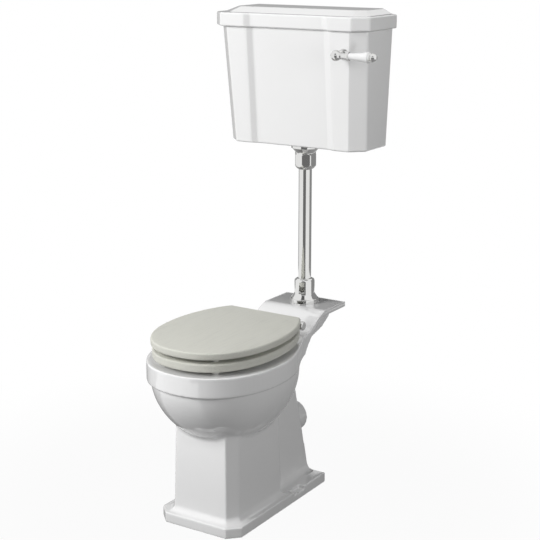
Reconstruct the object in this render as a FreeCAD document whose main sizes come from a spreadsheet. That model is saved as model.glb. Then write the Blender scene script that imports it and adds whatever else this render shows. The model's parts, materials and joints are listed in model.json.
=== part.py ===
import FreeCAD, Part
import math
import os
import Sketcher
from FreeCAD import Placement, Rotation, Vector

# Driving dimensions in millimetres. Z is up from the floor, Y runs from the front towards the wall,
# and the origin is on the floor at the middle of the foot.
SIZES = {
    # foot of the pan
    "foot_length": 471,
    "foot_width": 262,
    "foot_height": 30,
    "foot_corner": 32,
    "foot_wall": 17,
    "recess_length": 54,
    "recess_width": 19,
    "recess_depth": 10,
    "recess_offset": 90,
    "floor_hole_radius": 3.5,
    "floor_hole_inset": 9,
    # column and trap casing
    "column_foot_width": 212,
    "column_top_width": 200,
    "column_front_foot": 212,
    "column_front_top": 204,
    "column_rear_foot": 33,
    "column_rear_top": 24,
    "column_corner_width": 21,
    "column_corner_depth": 34,
    "column_drop": 136,
    "trap_foot_width": 152,
    "trap_top_width": 132,
    "trap_rear_foot": 232,
    "trap_rear_top": 172,
    "trap_drop": 166,
    "cove": 16,
    "casing_wall": 11,
    # trap passage and outlet spigot
    "trap_radius": 39,
    "trap_start_drop": 204,
    "trap_start_offset": -52,
    "trap_dip_drop": 314,
    "trap_dip_offset": 35,
    "weir_drop": 230,
    "weir_offset": 108,
    "trap_fall_offset": 168,
    "outlet_radius": 47,
    "outlet_collar": 45,
    "outlet_neck_radius": 46,
    "outlet_height": 173,
    "outlet_end": 271,
    # rim and bowl
    "rim_height": 466,
    "rim_band": 55,
    "rim_width": 374,
    "rim_widest": 82,
    "rim_front": 236,
    "rim_power": 2.25,
    "bowl_inset": 9,
    "bowl_wall": 11,
    "bowl_rear": 229,
    "bowl_depth": 250,
    "bowl_curve": 1.85,
    "bowl_shift": 15.5,
    "bowl_power": 2.2,
    "opening_width": 256,
    "opening_front": 176,
    "opening_rear": 162,
    "rim_lip": 18,
    "cavity_rear": 174,
    # flush shelf
    "shelf_rise": 42,
    "shelf_width": 205,
    "shelf_thickness": 16,
    "shelf_gap": 8,
    "shelf_sides": 215,
    "rise_start": 168,
    "rise_end": 283,
    "bracket_start": 148,
    "bracket_end": 260,
    "shelf_hole_radius": 27,
    "duct_width": 130,
    "duct_wall": 13,
    "duct_rear": 362,
    "duct_rear_drop": 42,
    "duct_bend": 321,
    "duct_bend_drop": 66,
    "duct_front": 236,
    "duct_front_drop": 89,
    # seat
    "seat_widest": 82,
    "seat_front": 228,
    "seat_power": 2.25,
    "seat_back_curve": 265,
    "seat_gap": 13,
    "seat_corner": 16,
    "seat_edge": 5,
    "lid_width": 344,
    "lid_thickness": 20,
    "ring_width": 337,
    "ring_setback": 3.5,
    "ring_thickness": 23,
    "ring_opening_width": 218,
    "ring_opening_front": 150,
    "ring_opening_rear": 128,
    "ring_buffer_height": 11,
    "lid_buffer_height": 11,
    "buffer_width": 20,
    "front_buffer_side": 82,
    "front_buffer_offset": 249,
    "rear_buffer_side": 112,
    "rear_buffer_offset": 60,
    # seat hinge
    "hinge_offset": 128,
    "hinge_rise": 36,
    "bar_radius": 6,
    "bar_length": 231,
    "hinge_clearance": 0.05,
    "cap_radius": 12.5,
    "cap_length": 12,
    "cap_depth": 8,
    "pillar_spacing": 155,
    "pillar_width": 14,
    "pillar_eye_radius": 10.5,
    "pillar_post_radius": 6.5,
    "pillar_base_radius": 11,
    "pillar_base_height": 4,
    "pillar_washer": 1.5,
    "bolt_radius": 4,
    "bolt_hole_radius": 6.5,
    "bolt_drop": 88,
    "bolt_washer": 2,
    "bolt_washer_radius": 11,
    "wing_hub_radius": 7,
    "wing_hub_height": 10,
    "wing_span": 26,
    "wing_thickness": 3,
    "wing_height": 14,
    "wing_gap": 2.8,
    "nut_pocket_radius": 17,
    "nut_pocket_depth": 71,
    "ring_strap_side": 48,
    "lid_strap_side": 24,
    "strap_width": 16,
    "strap_length": 62,
    "strap_thickness": 2.5,
    "knuckle_radius": 9.5,
    "screw_radius": 2,
    "screw_length": 12,
    "screw_head_radius": 3.6,
    "screw_head": 1.2,
    "screw_first": 34,
    "screw_pitch": 16,
    # flush pipe and its fittings
    "wall_distance": 401,
    "pipe_standoff": 73,
    "pipe_radius": 19,
    "pipe_wall": 1.5,
    "pipe_insertion": 15,
    "pipe_clearance": 0.1,
    "cone_flange_radius": 33,
    "cone_flange": 3,
    "bell_disc_radius": 41.5,
    "bell_disc": 13,
    "bell_radius": 29.8,
    "bell_flare": 31,
    "bell_shoulder": 58,
    "bell_height": 73,
    "bell_wall": 4,
    "nut_taper": 8,
    "nut_height": 47,
    "nut_corner_radius": 32.4,
    "nut_turn": 14,
    "nut_lip": 10,
    "olive_height": 9,
    "tail_radius": 23.9,
    "tail_wall": 4.7,
    "flange_drop": 27,
    "flange_radius": 41,
    "flange_neck_radius": 30,
    "flange_plate": 16,
    "flange_washer": 1.5,
    # cistern
    "cistern_base": 978,
    "cistern_height": 329.5,
    "cistern_foot_width": 442,
    "cistern_top_width": 468.8,
    "cistern_foot_depth": 151.8,
    "cistern_top_depth": 179.7,
    "cistern_corner": 36.7,
    "panel_width": 228,
    "pilaster_edge": 270,
    "panel_depth": 9,
    "cistern_wall": 10,
    "cistern_floor": 12,
    "tail_hole_radius": 25,
    "wall_hole_radius": 5,
    "wall_hole_spacing": 240,
    "wall_hole_drop": 39.5,
    "cover_overhang": 12.8,
    "cover_band": 38,
    "cover_ledge": 14,
    "cover_rise": 14.5,
    "cover_side_slope": 27,
    "cover_front_slope": 50,
    "cover_wall": 11,
    # siphon
    "siphon_flange_radius": 36,
    "siphon_flange": 6,
    "siphon_washer": 3,
    "leg_radius": 22,
    "leg_wall": 3,
    "leg_height": 205,
    "chamber_offset": 75,
    "chamber_radius": 50,
    "chamber_wall": 3,
    "chamber_gap": 13,
    "chamber_height": 90,
    "rod_radius": 2.5,
    "rod_side": 26,
    "rod_front": 30,
    "rod_guide_clearance": 0.4,
    "plate_clearance": 1.5,
    "plate_thickness": 3,
    "plate_rise": 8,
    "flap_thickness": 1,
    "flap_inset": 2,
    # flush lever
    "lever_inset": 53.9,
    "lever_drop": 61.5,
    "lever_reach": 41,
    "rosette_radius": 15,
    "rosette_depth": 8,
    "rosette_face_radius": 11.2,
    "rosette_rim": 4.8,
    "bush_radius": 8,
    "bush_length": 26,
    "bush_hole_radius": 8.5,
    "lever_washer": 3,
    "lever_washer_radius": 15,
    "lever_nut_radius": 15,
    "lever_nut": 8,
    "spindle_radius": 5,
    "spindle_clearance": 0.05,
    "lever_gap": 0.3,
    "hub_radius": 14,
    "hub_neck_radius": 9,
    "arm_radius": 7,
    "arm_length": 36,
    "collar_radius": 12.5,
    "collar_length": 5,
    "handle_length": 60,
    "handle_neck_radius": 9.2,
    "handle_end_radius": 15,
    "end_cap_band": 9.5,
    "end_cap_radius": 12.5,
    "crank_thickness": 5,
    "crank_height": 18,
    "crank_hub_radius": 11,
    "crank_hub_length": 12,
    "crank_slot_height": 10,
    "crank_slot_inner": 5,
    "crank_slot_outer": 12,
    "crank_end": 6,
    "crank_screw_radius": 2,
    "link_pin_radius": 2,
    "link_gap": 2.5,
    "link_cheek": 2.5,
    "link_width": 8,
    "link_drop": 16,
    "link_base": 5,
    # fill valve
    "valve_drop": 59.5,
    "valve_offset": 56,
    "valve_shank_radius": 10.6,
    "valve_shank_length": 14,
    "valve_tail_radius": 10.3,
    "valve_tail_length": 26,
    "valve_groove": 1.5,
    "valve_bore_radius": 5.2,
    "valve_hole_radius": 11,
    "valve_flange_radius": 17,
    "valve_flange": 5,
    "valve_washer": 3,
    "valve_nut_radius": 17,
    "valve_nut": 9,
    "valve_radius": 12.5,
    "valve_length": 46,
    "valve_tube_radius": 7,
    "valve_tube_wall": 1.5,
    "valve_tube_gap": 40,
    "valve_tube_offset": 16,
    "valve_tube_clearance": 8,
    "ear_thickness": 4,
    "ear_radius": 8,
    "ear_drop": 20,
    "ear_offset": 36,
    "float_pin_radius": 2.5,
    "float_gap": 0.5,
    "float_knuckle_radius": 6.5,
    "float_knuckle_width": 8,
    "float_arm_radius": 3,
    "float_arm_length": 105,
    "float_droop": 30,
    "float_radius": 40,
}

# Points of a spline along each stretch of an outline, and steps of a stepped curve.
OUTLINE_STEPS = 24
BOWL_LEVELS = 7
COVE_STEPS = 4
# The bowl's lowest outline lies this share of its depth above the point where it would close.
BOWL_END = 0.06
# Share of the shorter run that a tangent arc takes up.
ARC_SHARE = 0.45
PIPE_NUT_FLATS = 8
BACKNUT_FLATS = 6

doc = FreeCAD.newDocument("mid_level_toilet")
sheet = doc.addObject("Spreadsheet::Sheet", "dim")
for row, (alias, value) in enumerate(SIZES.items(), 1):
    sheet.set(f"A{row}", alias)
    sheet.set(f"B{row}", str(value))
    sheet.setAlias(f"B{row}", alias)
doc.recompute()

subparts = []

ALONG = {
    "x": Rotation(Vector(0, 1, 0), 90),
    "-x": Rotation(Vector(0, 1, 0), -90),
    "y": Rotation(Vector(1, 0, 0), -90),
    "-y": Rotation(Vector(1, 0, 0), 90),
    "z": Rotation(),
    "-z": Rotation(Vector(1, 0, 0), 180),
}


def size(alias):
    return float(sheet.get(alias))


def number(formula):
    return float(sheet.evalExpression(str(formula)))


def bind(item, **formulas):
    for name, formula in formulas.items():
        item.setExpression(name, str(formula))


def place(item, x=0, y=0, z=0, along="z"):
    item.Placement = Placement(Vector(), ALONG[along])
    for name, formula in (("x", x), ("y", y), ("z", z)):
        item.setExpression(f"Placement.Base.{name}", str(formula))
    return item


def keep(item, label):
    item.Label = label
    subparts.append(item)
    return item


def new(kind, name, **formulas):
    item = doc.addObject(kind, name)
    bind(item, **formulas)
    return item


def rod(name, radius, length, x=0, y=0, z=0, along="z"):
    return place(new("Part::Cylinder", name, Radius=radius, Height=length), x, y, z, along)


def block(name, width, depth, height, x=0, y=0, z=0):
    """A box that is centred on x and y and stands on z."""
    item = new("Part::Box", name, Length=width, Width=depth, Height=height)
    return place(item, f"{x} - ({width}) / 2", f"{y} - ({depth}) / 2", z)


def nut_block(name, flats, radius, height, x=0, y=0, z=0, along="z"):
    item = new("Part::Prism", name, Circumradius=radius, Height=height)
    item.Polygon = flats
    return place(item, x, y, z, along)


def cut(name, base, *tools):
    item = doc.addObject("Part::Cut", name)
    item.Base = base
    item.Tool = tools[0] if len(tools) == 1 else fuse(name + "_tools", *tools)
    return item


def fuse(name, *shapes):
    item = doc.addObject("Part::MultiFuse", name)
    item.Shapes = list(shapes)
    return item


def group(name, *shapes):
    item = doc.addObject("Part::Compound", name)
    item.Links = list(shapes)
    return item


def arc_side(start, stop, radius):
    """The shorter arc from start to stop; a positive radius turns left. Also gives its end numbers."""
    chord = stop - start
    reach = math.sqrt(max(radius**2 - chord.Length**2 / 4, 0))
    left = Vector(-chord.y, chord.x).normalize()
    centre = (start + stop) / 2 + left * math.copysign(reach, radius)
    circle = Part.Circle(centre, Vector(0, 0, 1), abs(radius))
    first, last = (start, stop) if radius > 0 else (stop, start)
    arc = Part.ArcOfCircle(circle, circle.parameter(first), circle.parameter(last))
    return arc, (1, 2) if radius > 0 else (2, 1)


def draw(body, name, corners, plane="XZ_Plane", level=0):
    """A closed sketch whose corners follow pairs of formulas. A third formula makes the side that
    leaves the corner an arc of that radius, turning left when positive."""
    sketch = body.newObject("Sketcher::SketchObject", name)
    origin_plane = next(item for item in body.Origin.OriginFeatures if item.Role == plane)
    sketch.AttachmentSupport = [(origin_plane, "")]
    sketch.MapMode = "FlatFace"
    sketch.setExpression("AttachmentOffset.Base.z", str(level))
    spots = [Vector(number(corner[0]), number(corner[1])) for corner in corners]
    ends = []
    for index, corner in enumerate(corners):
        start, stop = spots[index], spots[(index + 1) % len(spots)]
        if len(corner) == 3:
            side, numbers = arc_side(start, stop, number(corner[2]))
        else:
            side, numbers = Part.LineSegment(start, stop), (1, 2)
        sketch.addGeometry(side, False)
        ends.append(numbers)
    for index, corner in enumerate(corners):
        first, last = ends[index]
        following = (index + 1) % len(corners)
        sketch.addConstraint(Sketcher.Constraint("Coincident", index, last, following, ends[following][0]))
        for kind, formula, value in zip(("DistanceX", "DistanceY"), corner, spots[index]):
            held = sketch.addConstraint(Sketcher.Constraint(kind, -1, 1, index, first, value))
            sketch.setExpression(f"Constraints[{held}]", str(formula))
        if len(corner) == 3:
            held = sketch.addConstraint(Sketcher.Constraint("Radius", index, abs(number(corner[2]))))
            sketch.setExpression(f"Constraints[{held}]", f"abs({corner[2]})")
    return sketch


def turned(name, corners, x=0, y=0, z=0, along="z"):
    """A piece turned about its axis from an outline of (radius, height) corners."""
    body = doc.addObject("PartDesign::Body", name)
    sketch = draw(body, name + "_outline", corners)
    turn = body.newObject("PartDesign::Revolution", name + "_turn")
    turn.Profile = sketch
    turn.ReferenceAxis = (sketch, ["V_Axis"])
    turn.Angle = 360
    return place(body, x, y, z, along)


def ring(name, outer, inner, height, x=0, y=0, z=0, along="z"):
    corners = [(inner, 0), (outer, 0), (outer, height), (inner, height)]
    return turned(name, corners, x, y, z, along)


def stacked(body, name, kind, sections):
    """A straight-sided loft through outlines at several levels."""
    sketches = []
    for index, (corners, level) in enumerate(sections):
        sketches.append(draw(body, f"{name}_{index}", corners, "XY_Plane", level))
    loft = body.newObject(kind, name)
    loft.Profile = sketches[0]
    loft.Sections = sketches[1:]
    loft.Ruled = True
    return loft


def mirrored_pair(label, make):
    """Two solids in one sub-part, made by make(name, sign) for the left and the right."""
    return keep(group(label, make(label + "_left", -1), make(label + "_right", 1)), label)


# Shared heights and offsets, as formulas.
deck = "dim.rim_height"
shelf = f"({deck} + dim.shelf_rise)"
hinge_height = f"({deck} + dim.hinge_rise)"
ring_base = f"({deck} + dim.ring_buffer_height)"
ring_top = f"({ring_base} + dim.ring_thickness)"
lid_base = f"({ring_top} + dim.lid_buffer_height)"
pipe_line = "(dim.wall_distance - dim.pipe_standoff)"
cistern_top = "(dim.cistern_base + dim.cistern_height)"
tank_floor = "(dim.cistern_base + dim.cistern_floor)"
lever_plane = f"({cistern_top} - dim.lever_drop)"
valve_z = f"({cistern_top} - dim.valve_drop)"
nut_top = "(dim.cistern_base - dim.flange_drop)"
nut_bottom = f"({nut_top} - dim.nut_height)"
side_lean = "((dim.cistern_top_width - dim.cistern_foot_width) / 2 / dim.cistern_height)"


def cistern_half_width(height):
    return f"(dim.cistern_foot_width / 2 + {side_lean} * ({height} - dim.cistern_base))"


def cistern_front(height):
    growth = "(dim.cistern_top_depth - dim.cistern_foot_depth) / dim.cistern_height"
    depth = f"(dim.cistern_foot_depth + {growth} * ({height} - dim.cistern_base))"
    return f"(dim.wall_distance - {depth})"


def below_rim(alias):
    return size("rim_height") - size(alias)


def below_shelf(alias):
    return number(shelf) - size(alias)


def egg(half_width, front, rear, middle, height, power):
    """Closed rounded outline, reaching front and rear of the line y = middle."""
    points = []
    for step in range(OUTLINE_STEPS):
        angle = 2 * math.pi * step / OUTLINE_STEPS
        across = math.copysign(abs(math.cos(angle)) ** (2 / power), math.cos(angle))
        along = math.copysign(abs(math.sin(angle)) ** (2 / power), math.sin(angle))
        reach = rear if along > 0 else front
        points.append(Vector(half_width * across, middle + reach * along, height))
    curve = Part.BSplineCurve()
    curve.interpolate(points, True)
    return Part.Wire(curve.toShape())


def front_points(half_width, front, middle, power, height):
    """Points of the rounded front, from its right-hand end to its left-hand end."""
    points = []
    for step in range(OUTLINE_STEPS + 1):
        angle = math.pi * step / OUTLINE_STEPS
        across = math.copysign(abs(math.cos(angle)) ** (2 / power), math.cos(angle))
        points.append(Vector(half_width * across, middle - front * math.sin(angle) ** (2 / power), height))
    return points


def spline_through(points, first_tangent=None, last_tangent=None):
    curve = Part.BSplineCurve()
    if first_tangent is None:
        curve.interpolate(points)
    else:
        curve.interpolate(Points=points, InitialTangent=first_tangent, FinalTangent=last_tangent)
    return curve.toShape()


def lines_through(points):
    return [Part.LineSegment(a, b).toShape() for a, b in zip(points, points[1:])]


def prism(edges, direction):
    return Part.Face(Part.Wire(edges)).extrude(direction)


def polygon(points):
    return Part.makePolygon(points + points[:1])


def ease(share):
    """Rises smoothly from 0 to 1 as share does."""
    return (1 - math.cos(math.pi * share)) / 2


def between(low, high, share):
    return low + (high - low) * share


def cove_levels(base, top):
    """Heights and growths of a hollow-curved foot on a straight casing."""
    levels = []
    for step in range(COVE_STEPS + 1):
        angle = math.pi / 2 * step / COVE_STEPS
        levels.append((base + size("cove") * (1 - math.cos(angle)), size("cove") * (1 - math.sin(angle))))
    return levels + [(top, 0)]


def column_outline(height, growth):
    share = (height - size("foot_height")) / (below_rim("column_drop") - size("foot_height"))
    half = between(size("column_foot_width"), size("column_top_width"), share) / 2 + growth
    front = -between(size("column_front_foot"), size("column_front_top"), share) - growth
    rear = between(size("column_rear_foot"), size("column_rear_top"), share) + growth
    corner_y = front + size("column_corner_depth")
    corner_x = half - size("column_corner_width")
    right = [(corner_x, front), (half, corner_y), (half, rear)]
    left = [(-x, y) for x, y in reversed(right)]
    return polygon([Vector(x, y, height) for x, y in right + left])


def trap_outline(height, growth):
    share = (height - size("foot_height")) / (below_rim("trap_drop") - size("foot_height"))
    half = between(size("trap_foot_width"), size("trap_top_width"), share) / 2 + growth
    rear = between(size("trap_rear_foot"), size("trap_rear_top"), share) + min(growth, 0)
    front = size("column_front_foot") / -2
    corners = [(half, front), (half, rear), (-half, rear), (-half, front)]
    return polygon([Vector(x, y, height) for x, y in corners])


def casing(outline, top):
    levels = cove_levels(size("foot_height"), top)
    return Part.makeLoft([outline(height, growth) for height, growth in levels], True, True)


def casing_hollow(outline, top):
    levels = (0, top - size("casing_wall"))
    return Part.makeLoft([outline(height, -size("casing_wall")) for height in levels], True, True)


def foot_outline(inset):
    half = size("foot_width") / 2 - inset
    reach = size("foot_length") / 2 - inset
    corner = size("foot_corner")
    right = [(half - corner, -reach), (half, -reach + corner), (half, reach)]
    left = [(-x, y) for x, y in reversed(right)]
    return Part.Face(polygon([Vector(x, y, 0) for x, y in right + left]))


def bowl_outline(height, inset, rear, base):
    """Egg section of the bowl: full under the rim band, closing towards its base."""
    top = below_rim("rim_band")
    depth = (top - height) / (top - base)
    share = math.sqrt(1 - depth ** size("bowl_curve"))
    half = (size("rim_width") / 2 - inset) * share
    front = (size("rim_front") - inset) * share
    middle = size("bowl_shift") * depth - size("rim_widest")
    return egg(half, front, rear * share, middle, height, size("bowl_power"))


def bowl_solid(inset, rear, base):
    top = below_rim("rim_band")
    lowest = base + (top - base) * BOWL_END
    outlines = []
    for level in range(BOWL_LEVELS):
        height = between(top, lowest, level / (BOWL_LEVELS - 1))
        outlines.append(bowl_outline(height, inset, rear, base))
    return Part.makeLoft(outlines, True, False)


def upper_body():
    """Rim band, rise and flush shelf: the plan outline cut to the side profile."""
    half, shelf_half = size("rim_width") / 2, size("shelf_width") / 2
    widest, sides = -size("rim_widest"), size("shelf_sides")
    shelf_rear = size("wall_distance") - size("shelf_gap")
    low, shelf_top = below_rim("rim_band"), number(shelf)
    right = []
    for step in range(OUTLINE_STEPS // 2, 0, -1):
        share = step / (OUTLINE_STEPS // 2)
        right.append(Vector(between(half, shelf_half, ease(share)), between(widest, sides, share), low))
    left = [Vector(-point.x, point.y, low) for point in reversed(right)]
    front = front_points(half, size("rim_front"), widest, size("rim_power"), low)
    curve = spline_through(right + front + left, Vector(0, -1, 0), Vector(0, 1, 0))
    rear = [left[-1], Vector(-shelf_half, shelf_rear, low), Vector(shelf_half, shelf_rear, low), right[0]]
    plan = prism([curve] + lines_through(rear), Vector(0, 0, shelf_top - low))

    start, end = size("rise_start"), size("rise_end")
    rise = []
    for step in range(OUTLINE_STEPS // 2 + 1):
        share = step / (OUTLINE_STEPS // 2)
        height = between(size("rim_height"), shelf_top, ease(share))
        rise.append(Vector(-half, between(start, end, share), height))
    under = below_shelf("shelf_thickness")
    tip = widest - size("rim_front")
    around = [
        rise[-1],
        Vector(-half, shelf_rear, shelf_top),
        Vector(-half, shelf_rear, under),
        Vector(-half, size("bracket_end"), under),
        Vector(-half, size("bracket_start"), low),
        Vector(-half, tip, low),
        Vector(-half, tip, size("rim_height")),
        rise[0],
    ]
    flat = Vector(0, 1, 0)
    profile = prism([spline_through(rise, flat, flat)] + lines_through(around), Vector(2 * half, 0, 0))
    return plan.common(profile)


def duct_profile(inset, climb_start, climb_end):
    """Side view of the water duct under the shelf, or of its passage when inset; the roof climbs between
    the two places given."""
    bottom = [
        (size("duct_rear") - inset, below_shelf("duct_rear_drop") + inset),
        (size("duct_bend") - inset / 2, below_shelf("duct_bend_drop") + inset),
        (size("duct_front"), below_shelf("duct_front_drop") + inset),
        (size("opening_rear") - size("rim_widest") - inset / 2, below_shelf("duct_front_drop") + inset / 2),
    ]
    top_front = below_rim("bowl_wall")
    under = below_shelf("shelf_thickness")
    top = [
        (bottom[-1][0], top_front),
        (climb_start, top_front),
        (climb_end, under),
        (size("duct_rear") - inset, under),
    ]
    half = size("duct_width") / 2 - inset
    corners = [Vector(-half, y, z) for y, z in bottom + top]
    return Part.Face(polygon(corners)).extrude(Vector(2 * half, 0, 0))


def rounded_path(points):
    """Straight runs joined by tangent arcs, each as large as its two runs allow."""
    edges = []
    here = points[0]
    for before, corner, after in zip(points, points[1:], points[2:]):
        back, onward = before - corner, after - corner
        half_turn = (math.pi - back.getAngle(onward)) / 2
        trim = ARC_SHARE * min(back.Length, onward.Length)
        begin = corner + back.normalize() * trim
        finish = corner + onward.normalize() * trim
        bisector = (back + onward).normalize()
        radius = trim / math.tan(half_turn)
        middle = corner + bisector * (radius / math.cos(half_turn) - radius)
        edges.append(Part.LineSegment(here, begin).toShape())
        edges.append(Part.Arc(begin, middle, finish).toShape())
        here = finish
    edges.append(Part.LineSegment(here, points[-1]).toShape())
    return Part.Wire(edges)


def trap_route():
    """Corners of the waterway from the bowl, through the dip and over the weir, to the outlet."""
    return [
        Vector(0, size("trap_start_offset"), below_rim("trap_start_drop")),
        Vector(0, size("trap_dip_offset"), below_rim("trap_dip_drop")),
        Vector(0, size("weir_offset"), below_rim("weir_drop")),
        Vector(0, size("trap_fall_offset"), size("outlet_height")),
        Vector(0, size("outlet_end") + size("trap_radius"), size("outlet_height")),
    ]


def trap_passage():
    path = rounded_path(trap_route())
    start = path.Edges[0]
    here, onward = start.valueAt(start.FirstParameter), start.tangentAt(start.FirstParameter)
    circle = Part.Circle(here, onward, size("trap_radius"))
    return path.makePipeShell([Part.Wire(circle.toShape())], True, False)


def casing_hollows(bowl):
    """The space open to the floor inside column and trap casing, round the bowl and the waterway."""
    column_top = below_rim("column_drop")
    column_hollow = casing_hollow(column_outline, column_top)
    hollow = column_hollow.fuse(casing_hollow(trap_outline, below_rim("trap_drop")))
    web_half = size("trap_radius") + size("casing_wall")
    web_base = below_rim("trap_dip_drop") - web_half
    web_front = size("trap_start_offset") - web_half
    web_length = size("trap_rear_foot") - web_front
    web = Part.makeBox(2 * web_half, web_length, column_top, Vector(-web_half, web_front, web_base))
    return hollow.cut([bowl, web])


def outlet_cylinder(radius, start, end):
    """A cylinder on the outlet's axis, from start to end along Y."""
    foot = Vector(0, start, size("outlet_height"))
    return Part.makeCylinder(size(radius), end - start, foot, Vector(0, 1, 0))


def parted(casting, collar):
    """The casting as touching solids of simpler form: outlet collar, rim with shelf, bowl, trap, the
    bowl's foot, column, and the web under the trap's dip."""
    far = 2 * (size("foot_length") + size("wall_distance"))
    corners = (
        Vector(-far, -far, below_rim("rim_band")),
        Vector(-far, -far, below_rim("trap_drop")),
        Vector(-far, size("column_rear_foot"), -far),
        Vector(-far, -far, below_rim("bowl_depth")),
    )
    pieces = []
    for tool in [collar] + [Part.makeBox(2 * far, 2 * far, 2 * far, corner) for corner in corners]:
        pieces += casting.common(tool).Solids
        casting = casting.cut(tool)
    return Part.makeCompound(pieces + casting.Solids)


def make_pan():
    rim_half = size("rim_width") / 2
    foot_half = size("foot_width") / 2
    low, lip = below_rim("rim_band"), below_rim("rim_lip")
    bowl_base = below_rim("bowl_depth")
    middle = -size("rim_widest")
    up = Vector(0, 0, 1)

    neck_start = size("trap_rear_top") / 2
    neck_end = size("outlet_end") - size("outlet_collar") / 2
    neck = outlet_cylinder("outlet_neck_radius", neck_start, neck_end)
    collar = outlet_cylinder("outlet_radius", size("outlet_end") - size("outlet_collar"), size("outlet_end"))
    foot = foot_outline(0).extrude(up * size("foot_height"))
    bowl = bowl_solid(size("bowl_inset"), size("bowl_rear"), bowl_base)
    outer = foot.fuse(
        [
            casing(column_outline, below_rim("column_drop")),
            casing(trap_outline, below_rim("trap_drop")),
            bowl,
            upper_body(),
            duct_profile(0, size("bracket_start"), size("bracket_end")),
            neck,
            collar,
        ]
    )

    wall = size("bowl_inset") + size("bowl_wall")
    cavity_top = egg(
        rim_half - wall,
        size("rim_front") - wall,
        size("cavity_rear"),
        middle,
        low,
        size("bowl_power"),
    )
    opening = egg(
        size("opening_width") / 2,
        size("opening_front"),
        size("opening_rear"),
        middle,
        lip,
        size("bowl_power"),
    )
    pipe_y = size("wall_distance") - size("pipe_standoff")
    tools = [
        bowl_solid(wall, size("cavity_rear"), bowl_base + size("bowl_wall")),
        Part.Face(cavity_top).extrude(up * (lip - low)),
        Part.Face(opening).extrude(up * (size("rim_lip") + size("cove"))),
        trap_passage(),
        duct_profile(size("duct_wall"), size("rise_start"), size("rise_end")),
        Part.makeCylinder(
            size("shelf_hole_radius"),
            2 * size("shelf_thickness"),
            Vector(0, pipe_y, number(shelf) - 1.5 * size("shelf_thickness")),
        ),
        casing_hollows(bowl),
        foot_outline(size("foot_wall")).extrude(up * (size("foot_height") - size("foot_wall"))),
    ]
    recess_floor = size("foot_height") - size("recess_depth")
    for side in (-1, 1):
        outside = side * foot_half
        inside = outside - side * size("recess_width")
        recess = Part.makeBox(
            size("recess_width"),
            size("recess_length"),
            size("recess_depth"),
            Vector(min(inside, outside), size("recess_offset") - size("recess_length") / 2, recess_floor),
        )
        hole_base = Vector(outside - side * size("floor_hole_inset"), size("recess_offset"), 0)
        hole = Part.makeCylinder(size("floor_hole_radius"), recess_floor, hole_base)
        bolt = Vector(side * size("pillar_spacing") / 2, size("hinge_offset"), low)
        bolt_hole = Part.makeCylinder(size("bolt_hole_radius"), size("rim_band"), bolt)
        pocket_depth = size("nut_pocket_depth")
        pocket = Part.makeCylinder(size("nut_pocket_radius"), pocket_depth, bolt - up * pocket_depth)
        tools += [recess, hole, bolt_hole, pocket]
    return parted(outer.cut(tools), collar)


def seat_outline(width, setback, height):
    """Plan of a seat board: rounded front, curved sides and a straight rear edge."""
    half, middle = width / 2, -size("seat_widest")
    rear = size("hinge_offset") - size("seat_gap")
    right = []
    for step in range(OUTLINE_STEPS // 2, 0, -1):
        reach = (rear - middle) * step / (OUTLINE_STEPS // 2)
        across = half * math.sqrt(1 - (reach / size("seat_back_curve")) ** 2)
        right.append(Vector(across, middle + reach, height))
    left = [Vector(-point.x, point.y, height) for point in reversed(right)]
    front = front_points(half, size("seat_front") - setback, middle, size("seat_power"), height)
    return [spline_through(right + front + left)] + lines_through([left[-1], right[0]])


def seat_board(width, setback, height, thickness):
    """A board with round rear corners and rounded top and bottom edges."""
    board = prism(seat_outline(width, setback, height), Vector(0, 0, thickness))
    upright = [edge for edge in board.Edges if edge.BoundBox.ZLength > thickness / 2]
    board = board.makeFillet(size("seat_corner"), upright)
    level = [edge for edge in board.Edges if edge.BoundBox.ZLength < thickness / 2]
    return board.makeFillet(size("seat_edge"), level)


def screw_spots(side_alias):
    spots = []
    for side in (-1, 1):
        for index in range(2):
            y = size("hinge_offset") - size("screw_first") - index * size("screw_pitch")
            spots.append((side * size(side_alias), y))
    return spots


def screw_holes(side_alias, height, direction):
    length = size("screw_length") - size("strap_thickness")
    up = Vector(0, 0, direction)
    return [
        Part.makeCylinder(size("screw_radius"), length, Vector(x, y, height), up)
        for x, y in screw_spots(side_alias)
    ]


def make_seat_ring():
    base = number(ring_base)
    thickness = size("ring_thickness")
    board = seat_board(size("ring_width"), size("ring_setback"), base, thickness)
    hole = egg(
        size("ring_opening_width") / 2,
        size("ring_opening_front"),
        size("ring_opening_rear"),
        -size("seat_widest"),
        base,
        size("seat_power"),
    )
    through = Part.Face(hole).extrude(Vector(0, 0, thickness))
    return board.cut([through] + screw_holes("ring_strap_side", base + thickness, -1))


def make_seat_lid():
    base = number(lid_base)
    board = seat_board(size("lid_width"), 0, base, size("lid_thickness"))
    return board.cut(screw_holes("lid_strap_side", base, 1))


def feature(label, shape):
    item = doc.addObject("Part::Feature", label)
    item.Shape = shape
    item.Placement = Placement()
    return keep(item, label)


# Pan and the two seat boards.
feature("pan", make_pan())
feature("seat_ring", make_seat_ring())
feature("seat_lid", make_seat_lid())


def buffers(label, height, base):
    pads = []
    spots = {
        "front": ("dim.front_buffer_side", "-dim.front_buffer_offset"),
        "rear": ("dim.rear_buffer_side", "dim.rear_buffer_offset"),
    }
    for row, (across, along) in spots.items():
        for side in (-1, 1):
            name = f"{label}_{row}_{'right' if side > 0 else 'left'}"
            pads.append(rod(name, "dim.buffer_width / 2", height, f"{side} * {across}", along, base))
    keep(group(label, *pads), label)


buffers("ring_buffers", "dim.ring_buffer_height", deck)
buffers("lid_buffers", "dim.lid_buffer_height", ring_top)

# Hinge bar, carried on two pillars that are bolted through the pan.
hinge_y = "dim.hinge_offset"
on_hinge = (hinge_y, hinge_height, "x")
keep(rod("hinge_bar", "dim.bar_radius", "dim.bar_length", "-dim.bar_length / 2", *on_hinge), "hinge_bar")


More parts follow.
